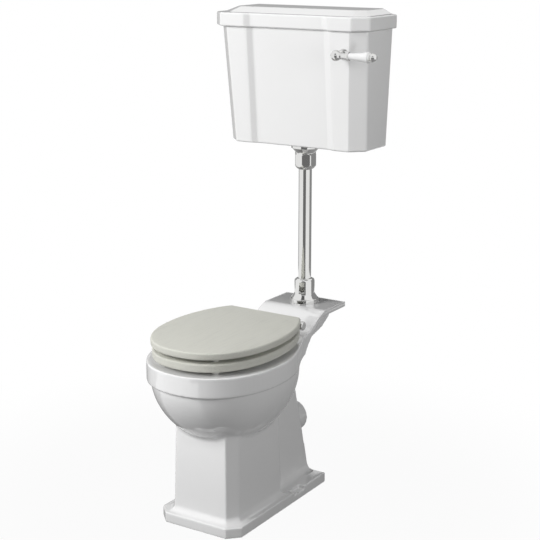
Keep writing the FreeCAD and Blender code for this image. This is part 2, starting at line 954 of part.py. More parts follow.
def end_cap(name, side):
    corners = [
        ("dim.bar_radius", 0),
        ("dim.cap_radius", 0),
        ("dim.cap_radius", "dim.cap_length - dim.cap_radius / 4"),
        ("dim.cap_radius * 3 / 4", "dim.cap_length"),
        (0, "dim.cap_length"),
        (0, "dim.cap_depth"),
        ("dim.bar_radius", "dim.cap_depth"),
    ]
    x = f"{side} * (dim.bar_length / 2 - dim.cap_depth)"
    return turned(name, corners, x, hinge_y, hinge_height, "x" if side > 0 else "-x")


mirrored_pair("hinge_end_caps", end_cap)

pillar_foot = f"({deck} + dim.pillar_washer)"
pillar_x = "dim.pillar_spacing / 2"


def pillar(name, side):
    x = f"{side} * {pillar_x}"
    post_height = f"{hinge_height} - {pillar_foot}"
    base = rod(name + "_base", "dim.pillar_base_radius", "dim.pillar_base_height", x, hinge_y, pillar_foot)
    post = rod(name + "_post", "dim.pillar_post_radius", post_height, x, hinge_y, pillar_foot)
    eye_x = f"{x} - dim.pillar_width / 2"
    eye = rod(name + "_eye", "dim.pillar_eye_radius", "dim.pillar_width", eye_x, *on_hinge)
    bore = rod(name + "_bore", "dim.bar_radius", "dim.pillar_width", eye_x, *on_hinge)
    return cut(name, fuse(name + "_body", base, post, eye), bore)


def pillar_washer(name, side):
    x = f"{side} * {pillar_x}"
    return ring(name, "dim.pillar_base_radius", "dim.bolt_radius", "dim.pillar_washer", x, hinge_y, deck)


def hinge_bolt(name, side):
    length = "dim.pillar_washer + dim.bolt_drop"
    return rod(name, "dim.bolt_radius", length, f"{side} * {pillar_x}", hinge_y, f"{deck} - dim.bolt_drop")


band_base = "(dim.rim_height - dim.rim_band)"
bolt_washer_base = f"({band_base} - dim.bolt_washer)"


def bolt_washer(name, side):
    x = f"{side} * {pillar_x}"
    outer = "dim.bolt_washer_radius"
    return ring(name, outer, "dim.bolt_radius", "dim.bolt_washer", x, hinge_y, bolt_washer_base)


def wing_nut(name, side):
    x = f"{side} * {pillar_x}"
    base = f"{bolt_washer_base} - dim.wing_hub_height"
    hub = rod(name + "_hub", "dim.wing_hub_radius", "dim.wing_hub_height", x, hinge_y, base)
    wings_base = f"{bolt_washer_base} - dim.wing_height"
    wing = "dim.wing_height - dim.wing_gap"
    wings = block(name + "_wings", "dim.wing_thickness", "dim.wing_span", wing, x, hinge_y, wings_base)
    bore = rod(name + "_bore", "dim.bolt_radius", "dim.wing_height", x, hinge_y, wings_base)
    return cut(name, fuse(name + "_body", hub, wings), bore)


mirrored_pair("hinge_pillars", pillar)
mirrored_pair("pillar_washers", pillar_washer)
mirrored_pair("hinge_bolts", hinge_bolt)
mirrored_pair("bolt_washers", bolt_washer)
mirrored_pair("wing_nuts", wing_nut)


# Hinge straps: a knuckle that turns on the bar and a plate screwed to the board.
def strap_maker(side_alias, plate_base):
    def strap(name, side):
        middle = f"{side} * dim.{side_alias}"
        edge = f"{middle} - dim.strap_width / 2"
        knuckle = rod(name + "_knuckle", "dim.knuckle_radius", "dim.strap_width", edge, *on_hinge)
        plate_middle = f"{hinge_y} - dim.strap_length / 2"
        plate = block(
            name + "_plate",
            "dim.strap_width",
            "dim.strap_length",
            "dim.strap_thickness",
            middle,
            plate_middle,
            plate_base,
        )
        bore_radius = "dim.bar_radius + dim.hinge_clearance"
        tools = [rod(name + "_bore", bore_radius, "dim.strap_width", edge, *on_hinge)]
        for index in range(2):
            y = f"{hinge_y} - dim.screw_first - {index} * dim.screw_pitch"
            hole = f"{name}_hole_{index}"
            tools.append(rod(hole, "dim.screw_radius", "dim.strap_thickness", middle, y, plate_base))
        return cut(name, fuse(name + "_body", knuckle, plate), *tools)

    return strap


def strap_screws(label, side_alias, plate_face, along):
    """Screws whose heads sit on plate_face and whose shanks run through the plate into the board."""
    corners = [
        (0, "-dim.screw_head"),
        ("dim.screw_head_radius", "-dim.screw_head"),
        ("dim.screw_head_radius", 0),
        ("dim.screw_radius", 0),
        ("dim.screw_radius", "dim.screw_length"),
        (0, "dim.screw_length"),
    ]
    screws = []
    for side in (-1, 1):
        for index in range(2):
            y = f"{hinge_y} - dim.screw_first - {index} * dim.screw_pitch"
            name = f"{label}_{'right' if side > 0 else 'left'}_{index}"
            screws.append(turned(name, corners, f"{side} * dim.{side_alias}", y, plate_face, along))
    keep(group(label, *screws), label)


lid_plate = f"({lid_base} - dim.strap_thickness)"
mirrored_pair("ring_straps", strap_maker("ring_strap_side", ring_top))
strap_screws("ring_strap_screws", "ring_strap_side", f"{ring_top} + dim.strap_thickness", "-z")
mirrored_pair("lid_straps", strap_maker("lid_strap_side", lid_plate))
strap_screws("lid_strap_screws", "lid_strap_side", lid_plate, "z")

# Flush pipe, with its cone and bell at the shelf and its nut and flange under the cistern.
pipe_bore = "(dim.pipe_radius + dim.pipe_clearance)"
cone_corners = [
    ("dim.pipe_radius", "-dim.shelf_thickness"),
    ("dim.shelf_hole_radius", "-dim.shelf_thickness"),
    ("dim.shelf_hole_radius", 0),
    ("dim.cone_flange_radius", 0),
    ("dim.cone_flange_radius", "dim.cone_flange"),
    ("dim.pipe_radius", "dim.cone_flange"),
]
keep(turned("flush_cone", cone_corners, 0, pipe_line, shelf), "flush_cone")

bell_inside = "(dim.bell_radius - dim.bell_wall)"
flare_radius = "((dim.bell_flare - dim.bell_disc)^2 / (dim.bell_disc_radius - dim.bell_radius))"
bell_corners = [
    ("dim.bell_disc_radius - dim.bell_wall", 0),
    ("dim.bell_disc_radius", 0),
    ("dim.bell_disc_radius", "dim.bell_disc", f"-{flare_radius}"),
    ("dim.bell_radius", "dim.bell_flare"),
    ("dim.bell_radius", "dim.bell_shoulder", "dim.bell_height - dim.bell_shoulder"),
    (pipe_bore, "dim.bell_height"),
    (pipe_bore, "dim.bell_shoulder"),
    (bell_inside, "dim.bell_shoulder - dim.bell_wall"),
    (bell_inside, "dim.bell_flare"),
    ("dim.bell_disc_radius - dim.bell_wall", "dim.bell_disc - dim.bell_wall"),
]
keep(turned("pan_bell", bell_corners, 0, pipe_line, shelf), "pan_bell")

olive_base = f"({nut_bottom} + dim.nut_taper + dim.nut_lip)"
tail_end = f"({olive_base} + dim.olive_height)"
pipe_foot = f"({shelf} - dim.pipe_insertion)"
pipe_length = f"{tail_end} + dim.pipe_insertion - {pipe_foot}"
pipe_inside = "dim.pipe_radius - dim.pipe_wall"
pipe = ring("flush_pipe", "dim.pipe_radius", pipe_inside, pipe_length, 0, pipe_line, pipe_foot)
keep(pipe, "flush_pipe")

olive_outside = "dim.tail_radius"
olive = ring("pipe_olive", olive_outside, "dim.pipe_radius", "dim.olive_height", 0, pipe_line, olive_base)
keep(olive, "pipe_olive")

nut_height = "dim.nut_height"
nut_body = nut_block(
    "nut_octagon",
    PIPE_NUT_FLATS,
    "dim.nut_corner_radius",
    nut_height,
    0,
    pipe_line,
    nut_bottom,
)
bind(nut_body, **{"Placement.Rotation.Angle": "dim.nut_turn"})
nut_rounding = [
    (0, 0),
    ("dim.nut_corner_radius - dim.nut_taper", 0),
    ("dim.nut_corner_radius", "dim.nut_taper"),
    ("dim.nut_corner_radius", f"{nut_height} - dim.nut_taper / 4"),
    ("dim.nut_corner_radius - dim.nut_taper / 2", nut_height),
    (0, nut_height),
]
nut_round = turned("pipe_nut_rounding", nut_rounding, 0, pipe_line, nut_bottom)
nut_shape = doc.addObject("Part::Common", "pipe_nut_shape")
nut_shape.Base = nut_body
nut_shape.Tool = nut_round
nut_bore = rod("pipe_nut_bore", "dim.tail_radius", nut_height, 0, pipe_line, olive_base)
nut_lip_bore = rod("pipe_nut_lip_bore", pipe_bore, nut_height, 0, pipe_line, nut_bottom)
keep(cut("pipe_nut", nut_shape, nut_bore, nut_lip_bore), "pipe_nut")

flange_height = "(dim.flange_drop - dim.flange_washer)"
flange_corners = [
    ("dim.tail_radius", 0),
    ("dim.flange_neck_radius", 0),
    ("dim.flange_radius", f"{flange_height} - dim.flange_plate"),
    ("dim.flange_radius", flange_height),
    ("dim.tail_radius", flange_height),
]
keep(turned("cistern_flange", flange_corners, 0, pipe_line, nut_top), "cistern_flange")
flange_washer = ring(
    "flange_washer",
    "dim.flange_neck_radius",
    "dim.tail_radius",
    "dim.flange_washer",
    0,
    pipe_line,
    "dim.cistern_base - dim.flange_washer",
)
keep(flange_washer, "flange_washer")


# Cistern: a tapered tank whose front steps back between two corner pilasters.
def stepped_outline(half, front, rear, corner, step_shift=0):
    """Plan with cut front corners and a set-back middle panel, moved outwards by step_shift."""
    panel = f"dim.panel_width / 2 + {step_shift}"
    pilaster = f"dim.pilaster_edge / 2 + {step_shift}"
    back_step = f"{front} + dim.panel_depth"
    right = [
        (panel, back_step),
        (pilaster, front),
        (f"{half} - {corner}", front),
        (half, f"{front} + {corner}"),
        (half, rear),
    ]
    left = [(f"-({x})", y) for x, y in reversed(right)]
    return right + left


def tank_outline(height, wall, rear):
    half = f"({cistern_half_width(height)} - {wall})"
    front = f"({cistern_front(height)} + {wall})"
    corner = f"(dim.cistern_corner - {wall} * (2 - sqrt(2)))"
    return stepped_outline(half, front, rear, corner, f"{wall} / 2")


tank = doc.addObject("PartDesign::Body", "tank")
behind_wall = "(dim.wall_distance + dim.cistern_wall)"
outer_sections = [(tank_outline(z, 0, behind_wall), z) for z in ("dim.cistern_base", cistern_top)]
stacked(tank, "tank_outside", "PartDesign::AdditiveLoft", outer_sections)
doc.recompute()
tank_rear = "(dim.wall_distance - dim.cistern_wall)"
inner_sections = [(tank_outline(z, "dim.cistern_wall", tank_rear), z) for z in (tank_floor, cistern_top)]
stacked(tank, "tank_inside", "PartDesign::SubtractiveLoft", inner_sections)

lever_x = f"({cistern_half_width(lever_plane)} - dim.lever_inset)"
lever_front = cistern_front(lever_plane)
valve_y = "(dim.wall_distance - dim.valve_offset)"
valve_wall = cistern_half_width(valve_z)


def lever_rod(name, radius, length, y):
    """A cylinder on the lever's axis, running back from y."""
    return rod(name, radius, length, lever_x, y, lever_plane, "y")


tank_tools = [
    block(
        "tank_back",
        "2 * dim.cistern_top_width",
        "2 * dim.cistern_wall",
        "2 * dim.cistern_height",
        0,
        behind_wall,
        "dim.cistern_base - dim.cistern_height / 2",
    ),
    rod(
        "tank_tail_hole",
        "dim.tail_hole_radius",
        "2 * dim.cistern_floor",
        0,
        pipe_line,
        "dim.cistern_base - dim.cistern_floor / 2",
    ),
    lever_rod(
        "tank_lever_hole",
        "dim.bush_hole_radius",
        "3 * dim.cistern_wall",
        f"{lever_front} - dim.cistern_wall",
    ),
    rod(
        "tank_valve_hole",
        "dim.valve_hole_radius",
        "3 * dim.cistern_wall",
        f"-{valve_wall} - dim.cistern_wall",
        valve_y,
        valve_z,
        "x",
    ),
]
for side in (-1, 1):
    tank_tools.append(
        rod(
            f"tank_wall_hole_{'right' if side > 0 else 'left'}",
            "dim.wall_hole_radius",
            "3 * dim.cistern_wall",
            f"{side} * dim.wall_hole_spacing / 2",
            "dim.wall_distance - 2 * dim.cistern_wall",
            f"{cistern_top} - dim.wall_hole_drop",
            "y",
        )
    )
keep(cut("cistern", tank, *tank_tools), "cistern")

# Cistern lid: an overhanging band with a ledge and a hipped top, hollow underneath.
cover_half = f"({cistern_half_width(cistern_top)} + dim.cover_overhang)"
cover_front = f"({cistern_front(cistern_top)} - dim.cover_overhang)"
cover_shoulder = f"({cistern_top} + dim.cover_band)"


def cover_outline(inset):
    half = f"({cover_half} - {inset})"
    front = f"({cover_front} + {inset})"
    return stepped_outline(half, front, "dim.wall_distance", "dim.cistern_corner", f"-{inset} / 2")


def hip_outline(side_inset, front_inset, rear_inset, corner):
    half = f"({cover_half} - {side_inset})"
    front = f"({cover_front} + {front_inset})"
    right = [
        (f"{half} - {corner}", front),
        (half, f"{front} + {corner}"),
        (half, f"dim.wall_distance - {rear_inset}"),
    ]
    return right + [(f"-({x})", y) for x, y in reversed(right)]


cover = doc.addObject("PartDesign::Body", "cover")
stacked(
    cover,
    "cover_band",
    "PartDesign::AdditiveLoft",
    [(cover_outline(0), cistern_top), (cover_outline(0), cover_shoulder)],
)
doc.recompute()
ledge = "dim.cover_ledge"
side_reach = f"({ledge} + dim.cover_side_slope)"
front_reach = f"({ledge} + dim.panel_depth + dim.cover_front_slope)"
hip_corner = "dim.cistern_corner / 2"
cover_top = f"{cover_shoulder} + dim.cover_rise"
stacked(
    cover,
    "cover_hip",
    "PartDesign::AdditiveLoft",
    [
        (hip_outline(ledge, f"{ledge} + dim.panel_depth", 0, "dim.cistern_corner"), cover_shoulder),
        (hip_outline(side_reach, front_reach, 0, hip_corner), cover_top),
    ],
)
doc.recompute()
cover_inside = "(dim.cover_overhang + dim.cistern_wall)"
cavity_front = f"{cover_inside} + dim.panel_depth"
cavity_top = f"{cover_top} - dim.cover_wall"
stacked(
    cover,
    "cover_cavity",
    "PartDesign::SubtractiveLoft",
    [
        (hip_outline(cover_inside, cavity_front, "dim.cistern_wall", "dim.cistern_corner"), cistern_top),
        (hip_outline(side_reach, front_reach, "dim.cistern_wall", hip_corner), cavity_top),
    ],
)
keep(cover, "cistern_lid")

# Siphon: an open-bottomed chamber, a rising leg, a crown bend and a falling leg into the tail.
siphon_seat = f"({tank_floor} + dim.siphon_washer)"
leg_base = f"({siphon_seat} + dim.siphon_flange)"
flange_edge = "dim.siphon_flange_radius"
washer = ring("siphon_washer", flange_edge, "dim.tail_radius", "dim.siphon_washer", 0, pipe_line, tank_floor)
keep(washer, "siphon_washer")
tail_corners = [
    ("dim.tail_radius - dim.tail_wall", f"{tail_end} - {siphon_seat}"),
    ("dim.tail_radius", f"{tail_end} - {siphon_seat}"),
    ("dim.tail_radius", 0),
    (flange_edge, 0),
    (flange_edge, "dim.siphon_flange"),
    ("dim.tail_radius - dim.tail_wall", "dim.siphon_flange"),
]
keep(turned("siphon_tail", tail_corners, 0, pipe_line, siphon_seat), "siphon_tail")

chamber_base = f"({tank_floor} + dim.chamber_gap)"
chamber_top = f"({chamber_base} + dim.chamber_height)"
leg_top = f"({tank_floor} + dim.leg_height)"
chamber_axis = ("dim.chamber_offset", pipe_line)
crown_radius = "(dim.chamber_offset / 2)"


def siphon_solid(suffix, shrink):
    """Legs and crown of the siphon, outside or, with shrink, their bore."""
    radius = f"(dim.leg_radius - {shrink})"
    falling = rod("falling_leg" + suffix, radius, f"{leg_top} - {leg_base}", 0, pipe_line, leg_base)
    rising_length = f"{leg_top} - {chamber_top} + dim.chamber_wall"
    rising_base = f"{chamber_top} - dim.chamber_wall"
    rising = rod("rising_leg" + suffix, radius, rising_length, *chamber_axis, rising_base)
    crown = new("Part::Torus", "crown" + suffix, Radius1=crown_radius, Radius2=radius)
    crown.Angle3 = 180
    place(crown, crown_radius, pipe_line, leg_top, "-y")
    return [falling, rising, crown]


chamber = rod("chamber", "dim.chamber_radius", "dim.chamber_height", *chamber_axis, chamber_base)
chamber_bore = rod(
    "chamber_bore",
    "dim.chamber_radius - dim.chamber_wall",
    "dim.chamber_height - dim.chamber_wall",
    *chamber_axis,
    chamber_base,
)
rod_x = "(dim.chamber_offset + dim.rod_side)"
rod_y = f"({pipe_line} - dim.rod_front)"
guide = rod(
    "rod_guide",
    "dim.rod_radius + dim.rod_guide_clearance",
    "dim.chamber_height",
    rod_x,
    rod_y,
    f"{chamber_top} - dim.chamber_height / 2",
)
siphon_outside = fuse("siphon_outside", chamber, *siphon_solid("", 0))
siphon_bores = siphon_solid("_bore", "dim.leg_wall")
keep(cut("siphon_body", siphon_outside, chamber_bore, guide, *siphon_bores), "siphon_body")

plate_base = f"({chamber_base} + dim.plate_rise)"
plate_top = f"({plate_base} + dim.plate_thickness)"
plate_radius = "dim.chamber_radius - dim.chamber_wall - dim.plate_clearance"
plate = rod("plate_disc", plate_radius, "dim.plate_thickness", *chamber_axis, plate_base)
plate_window = rod("plate_window", "dim.leg_radius", "dim.plate_thickness", *chamber_axis, plate_base)
keep(cut("diaphragm_plate", plate, plate_window), "diaphragm_plate")
flap = rod("flap_disc", f"{plate_radius} - dim.flap_inset", "dim.flap_thickness", *chamber_axis, plate_top)
flap_hole = rod("flap_hole", "dim.rod_radius", "dim.flap_thickness", rod_x, rod_y, plate_top)
keep(cut("diaphragm_flap", flap, flap_hole), "diaphragm_flap")

link_floor = f"({lever_plane} - dim.link_drop)"
keep(rod("lift_rod", "dim.rod_radius", f"{link_floor} - {plate_top}", rod_x, rod_y, plate_top), "lift_rod")

# Link on the lift rod: two cheeks and a pin that rides in the crank's slot with room to spare.
cheek_inner = "(dim.crank_thickness / 2 + dim.link_gap)"
cheek_outer = f"({cheek_inner} + dim.link_cheek)"
cheek_height = "dim.link_drop + dim.link_width / 2"
link_depth = f"2 * {cheek_outer}"
link_pieces = [block("link_base", "dim.link_width", link_depth, "dim.link_base", rod_x, rod_y, link_floor)]
for side, name in ((-1, "link_cheek_front"), (1, "link_cheek_rear")):
    middle = f"{rod_y} + {side} * ({cheek_inner} + dim.link_cheek / 2)"
    cheek = block(name, "dim.link_width", "dim.link_cheek", cheek_height, rod_x, middle, link_floor)
    link_pieces.append(cheek)
pin_start = f"{rod_y} - {cheek_outer}"
link_pin = rod("link_pin", "dim.link_pin_radius", link_depth, rod_x, pin_start, lever_plane, "y")
keep(fuse("lift_link", link_pin, *link_pieces), "lift_link")

# Flush lever: rosette and bush fixed in the front wall, the rest turning on the spindle's axis.
lever_inside = f"({lever_front} + dim.cistern_wall)"
rosette_face = f"({lever_front} - dim.rosette_depth)"
rosette_corners = [
    ("dim.bush_radius", 0),
    ("dim.rosette_face_radius", 0, "dim.rosette_radius / 2"),
    ("dim.rosette_radius", "dim.rosette_rim"),
    ("dim.rosette_radius", "dim.rosette_depth + dim.cistern_wall / 2"),
    ("dim.bush_radius", "dim.rosette_depth + dim.cistern_wall / 2"),
]
rosette_blank = turned("rosette_blank", rosette_corners, lever_x, rosette_face, lever_plane, "y")
keep(cut("lever_rosette", rosette_blank, tank), "lever_rosette")

spindle_bore = "(dim.spindle_radius + dim.spindle_clearance)"
bush_length = "dim.rosette_depth + dim.bush_length"
bush_place = (lever_x, rosette_face, lever_plane, "y")
keep(ring("lever_bush", "dim.bush_radius", spindle_bore, bush_length, *bush_place), "lever_bush")

washer_blank = ring(
    "lever_washer_blank",
    "dim.lever_washer_radius",
    "dim.bush_radius",
    "dim.cistern_wall / 2 + dim.lever_washer",
    lever_x,
    f"{lever_inside} - dim.cistern_wall / 2",
    lever_plane,
    "y",
)
keep(cut("lever_washer", washer_blank, tank), "lever_washer")

lever_nut_y = f"{lever_inside} + dim.lever_washer"
lever_nut_place = (lever_x, lever_nut_y, lever_plane, "y")
lever_nut = nut_block("lever_nut", BACKNUT_FLATS, "dim.lever_nut_radius", "dim.lever_nut", *lever_nut_place)
lever_nut_bore = lever_rod("lever_nut_bore", "dim.bush_radius", "dim.lever_nut", lever_nut_y)
keep(cut("lever_backnut", lever_nut, lever_nut_bore), "lever_backnut")

hub_y = f"({lever_front} - dim.lever_reach)"
neck_end = f"({rosette_face} - dim.lever_gap)"
hub_meets_neck = "sqrt(dim.hub_radius^2 - dim.hub_neck_radius^2)"
hub_corners = [
    (0, "-dim.hub_radius", "dim.hub_radius"),
    ("dim.hub_radius", 0, "dim.hub_radius"),
    ("dim.hub_neck_radius", hub_meets_neck),
    ("dim.hub_neck_radius", f"{neck_end} - {hub_y}"),
    (0, f"{neck_end} - {hub_y}"),
]
hub = turned("lever_hub", hub_corners, lever_x, hub_y, lever_plane, "y")
arm = rod("lever_rod", "dim.arm_radius", "dim.arm_length", lever_x, hub_y, lever_plane, "x")
keep(fuse("lever_arm", hub, arm), "lever_arm")

collar_x = f"({lever_x} + dim.arm_length)"
collar_corners = [
    (0, 0),
    ("dim.arm_radius", 0),
    ("dim.collar_radius", "dim.collar_length / 3", "dim.collar_length / 3"),
    ("dim.collar_radius", "dim.collar_length * 2 / 3"),
    ("dim.handle_neck_radius", "dim.collar_length"),
    (0, "dim.collar_length"),
]
keep(turned("lever_collar", collar_corners, collar_x, hub_y, lever_plane, "x"), "lever_collar")

handle_x = f"({collar_x} + dim.collar_length)"
handle_corners = [
    (0, 0),
    ("dim.handle_neck_radius", 0),
    ("dim.handle_neck_radius", "dim.handle_length / 4"),
    ("dim.handle_end_radius", "dim.handle_length - dim.handle_end_radius / 2", "dim.handle_end_radius / 2"),
    ("dim.handle_end_radius - dim.collar_length / 2", "dim.handle_length"),
    (0, "dim.handle_length"),
]
keep(turned("lever_handle", handle_corners, handle_x, hub_y, lever_plane, "x"), "lever_handle")

end_cap_x = f"({handle_x} + dim.handle_length)"
end_cap_corners = [
    (0, 0),
    ("dim.end_cap_radius", 0),
    ("dim.end_cap_radius", "dim.end_cap_band", "dim.end_cap_radius"),
    (0, "dim.end_cap_band + dim.end_cap_radius"),
]
keep(turned("lever_end_cap", end_cap_corners, end_cap_x, hub_y, lever_plane, "x"), "lever_end_cap")

crank_back = f"({rod_y} + dim.crank_hub_length / 2)"
spindle_length = f"{crank_back} - {neck_end}"
keep(lever_rod("lever_spindle", "dim.spindle_radius", spindle_length, neck_end), "lever_spindle")

# Crank: a slotted flat bar on a hub that is clamped to the spindle.
crank_front = f"({rod_y} - dim.crank_hub_length / 2)"
crank_tip = f"({rod_x} - dim.crank_slot_outer - dim.crank_end)"
bar_length = f"{lever_x} - {crank_tip}"
crank_hub = lever_rod("crank_hub", "dim.crank_hub_radius", "dim.crank_hub_length", crank_front)
crank_bar = block(
    "crank_bar",
    bar_length,
    "dim.crank_thickness",
    "dim.crank_height",
    f"({crank_tip} + {lever_x}) / 2",
    rod_y,
    f"{lever_plane} - dim.crank_height / 2",
)
crank_bore = lever_rod("crank_bore", "dim.spindle_radius", "dim.crank_hub_length", crank_front)
crank_slot = block(
    "crank_slot",
    "dim.crank_slot_inner + dim.crank_slot_outer",
    "dim.crank_thickness",
    "dim.crank_slot_height",
    f"{rod_x} + (dim.crank_slot_inner - dim.crank_slot_outer) / 2",
    rod_y,
    f"{lever_plane} - dim.crank_slot_height / 2",
)
screw_base = f"{lever_plane} + dim.spindle_radius"


def crank_screw(name):
    return rod(name, "dim.crank_screw_radius", "dim.crank_hub_radius", lever_x, rod_y, screw_base)


crank_body = fuse("crank_body", crank_hub, crank_bar)
spindle_core = lever_rod("spindle_core", "dim.spindle_radius", "dim.crank_hub_length", crank_front)
keep(cut("lever_crank", crank_body, crank_bore, crank_slot, crank_screw("crank_screw_hole")), "lever_crank")
keep(cut("crank_screw", crank_screw("crank_screw_blank"), spindle_core), "crank_screw")

# Fill valve through the left-hand wall, with its float hanging at the low-water stop.
valve_outside = f"(-{valve_wall})"
valve_inside = f"({valve_outside} + dim.cistern_wall)"
shank_at = "(dim.valve_tail_length + dim.valve_groove)"
shank_outside = f"({shank_at} + dim.valve_shank_length)"
tail_start = f"({valve_outside} - {shank_outside})"
flange_at = f"({shank_outside} + dim.cistern_wall + dim.valve_washer)"
body_at = f"({flange_at} + dim.valve_flange)"
valve_bore = "dim.valve_bore_radius"
groove_radius = "dim.valve_tail_radius - dim.valve_groove / 2"
valve_corners = [
    (valve_bore, 0),
    ("dim.valve_tail_radius", 0),
    ("dim.valve_tail_radius", "dim.valve_tail_length"),
    (groove_radius, "dim.valve_tail_length"),
    (groove_radius, shank_at),
    ("dim.valve_shank_radius", shank_at),
    ("dim.valve_shank_radius", flange_at),
    ("dim.valve_flange_radius", flange_at),
    ("dim.valve_flange_radius", body_at),
    ("dim.valve_radius", body_at),
    ("dim.valve_radius", f"{body_at} + dim.valve_length"),
    (0, f"{body_at} + dim.valve_length"),
    (0, flange_at),
    (valve_bore, flange_at),
]
valve_turned = turned("valve_turned", valve_corners, tail_start, valve_y, valve_z, "x")
pivot_x = f"({tail_start} + {body_at} + dim.ear_offset)"
pivot_z = f"({valve_z} - dim.ear_drop)"
ear_gap = "(dim.float_knuckle_width / 2 + dim.float_gap)"
ear_width = "2 * dim.ear_radius"
ear_base = f"{pivot_z} - dim.ear_radius"
ear_height = "dim.ear_drop + dim.ear_radius"
ears = []
for side, name in ((-1, "valve_ear_front"), (1, "valve_ear_rear")):
    ear_y = f"{valve_y} + {side} * ({ear_gap} + dim.ear_thickness / 2)"
    ears.append(block(name, ear_width, "dim.ear_thickness", ear_height, pivot_x, ear_y, ear_base))


def pivot_rod(name, radius, length, y):
    """A cylinder on the float's pivot, running back from y."""
    return rod(name, radius, length, pivot_x, y, pivot_z, "y")


pin_y = f"({valve_y} - {ear_gap} - dim.ear_thickness)"
pin_length = f"2 * ({ear_gap} + dim.ear_thickness)"
pin_hole = pivot_rod("float_pin_hole", "dim.float_pin_radius", pin_length, pin_y)
keep(cut("valve_body", fuse("valve_casting", valve_turned, *ears), pin_hole), "valve_body")
keep(pivot_rod("float_pin", "dim.float_pin_radius", pin_length, pin_y), "float_pin")


def valve_washer(name, x):
    """A washer on the valve's shank, cut to lie flat on the leaning wall."""
    depth = "dim.valve_washer + dim.cistern_wall / 2"
    on_shank = (x, valve_y, valve_z, "x")
    blank = ring(name + "_blank", "dim.valve_flange_radius", "dim.valve_shank_radius", depth, *on_shank)
    return cut(name, blank, tank)


inner_washer = valve_washer("valve_inner_washer", f"{valve_inside} - dim.cistern_wall / 2")
outer_washer = valve_washer("valve_outer_washer", f"{valve_outside} - dim.valve_washer")
keep(group("valve_washers", inner_washer, outer_washer), "valve_washers")

valve_nut_x = f"{valve_outside} - dim.valve_washer - dim.valve_nut"
valve_nut_place = (valve_nut_x, valve_y, valve_z, "x")
valve_nut = nut_block("valve_nut", BACKNUT_FLATS, "dim.valve_nut_radius", "dim.valve_nut", *valve_nut_place)
valve_nut_bore = rod("valve_nut_bore", "dim.valve_shank_radius", "dim.valve_nut", *valve_nut_place)
keep(cut("valve_backnut", valve_nut, valve_nut_bore), "valve_backnut")

# The tube hangs to a gap above the floor, or less far where the side wall leans in under it.
tube_side = "(dim.valve_washer + dim.valve_flange + dim.valve_tube_offset - dim.valve_tube_radius)"
tube_room = f"({tube_side} - dim.valve_tube_clearance)"
tube_drop = f"({valve_z} - {tank_floor} - dim.valve_tube_gap)"
tube_length = f"({tube_room} / max({side_lean}; {tube_room} / {tube_drop}))"
tube = ring(
    "valve_tube_blank",
    "dim.valve_tube_radius",
    "dim.valve_tube_radius - dim.valve_tube_wall",
    tube_length,
    f"{tail_start} + {body_at} + dim.valve_tube_offset",
    valve_y,
    f"{valve_z} - {tube_length}",
)
keep(cut("valve_tube", tube, valve_turned), "valve_tube")

# Float arm: drooping from its pivot, with the ball on its end.
reach_x = f"({pivot_x} + dim.float_arm_length * cos(dim.float_droop * 1 deg))"
reach_z = f"({pivot_z} - dim.float_arm_length * sin(dim.float_droop * 1 deg))"
knuckle_y = f"{valve_y} - dim.float_knuckle_width / 2"
float_knuckle = pivot_rod("float_knuckle", "dim.float_knuckle_radius", "dim.float_knuckle_width", knuckle_y)
float_stem = new("Part::Cylinder", "float_stem", Radius="dim.float_arm_radius", Height="dim.float_arm_length")
place(float_stem, pivot_x, valve_y, pivot_z, "x")
float_stem.setExpression("Placement.Rotation.Angle", "(90 + dim.float_droop) * 1 deg")
float_bore_radius = "dim.float_pin_radius + dim.hinge_clearance"
float_bore = pivot_rod("float_bore", float_bore_radius, "dim.float_knuckle_width", knuckle_y)
ball = place(new("Part::Sphere", "float_ball", Radius="dim.float_radius"), reach_x, valve_y, reach_z)
keep(cut("float_arm", fuse("float_lever", float_knuckle, float_stem), float_bore, ball), "float_arm")
keep(ball, "float_ball")

doc.recompute()

faults = [f"{item.Name}: {item.State}" for item in doc.Objects if {"Invalid", "Error"} & set(item.State)]
for item in subparts:
    if item.Shape.isNull() or not item.Shape.isValid() or item.Shape.Volume <= 0:
        faults.append(f"{item.Label}: no valid shape")
if faults:
    raise RuntimeError("; ".join(faults))

os.makedirs("parts", exist_ok=True)
for item in subparts:
    item.Shape.exportStep(f"parts/{item.Label}.step")
print(len(subparts), "sub-parts written")
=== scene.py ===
import json
import math

import bpy
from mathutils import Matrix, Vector

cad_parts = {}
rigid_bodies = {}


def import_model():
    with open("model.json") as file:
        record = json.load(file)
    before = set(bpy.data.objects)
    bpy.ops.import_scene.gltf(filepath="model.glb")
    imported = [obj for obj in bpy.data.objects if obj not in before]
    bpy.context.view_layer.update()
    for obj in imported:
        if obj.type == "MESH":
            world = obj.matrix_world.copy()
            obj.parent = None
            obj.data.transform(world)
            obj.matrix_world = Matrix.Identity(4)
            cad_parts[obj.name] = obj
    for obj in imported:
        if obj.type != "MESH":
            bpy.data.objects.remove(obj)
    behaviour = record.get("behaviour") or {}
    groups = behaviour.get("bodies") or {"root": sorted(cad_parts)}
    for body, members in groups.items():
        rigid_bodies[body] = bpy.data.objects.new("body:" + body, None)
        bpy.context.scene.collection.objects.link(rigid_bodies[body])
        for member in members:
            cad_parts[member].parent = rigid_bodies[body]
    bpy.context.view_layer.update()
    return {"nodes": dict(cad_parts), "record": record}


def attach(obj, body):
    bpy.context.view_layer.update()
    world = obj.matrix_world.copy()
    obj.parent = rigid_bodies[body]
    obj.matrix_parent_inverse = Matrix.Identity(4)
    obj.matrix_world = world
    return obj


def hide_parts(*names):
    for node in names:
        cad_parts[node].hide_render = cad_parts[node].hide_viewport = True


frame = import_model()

scene = bpy.context.scene
record = frame["record"]
slotOf = {entry["node"]: entry["material_slot"] for entry in record["subparts"]}
bodyOf = {
    node: body
    for body, nodes in record["behaviour"]["bodies"].items()
    for node in nodes
}
print("frame loaded:", len(frame["nodes"]), "nodes")


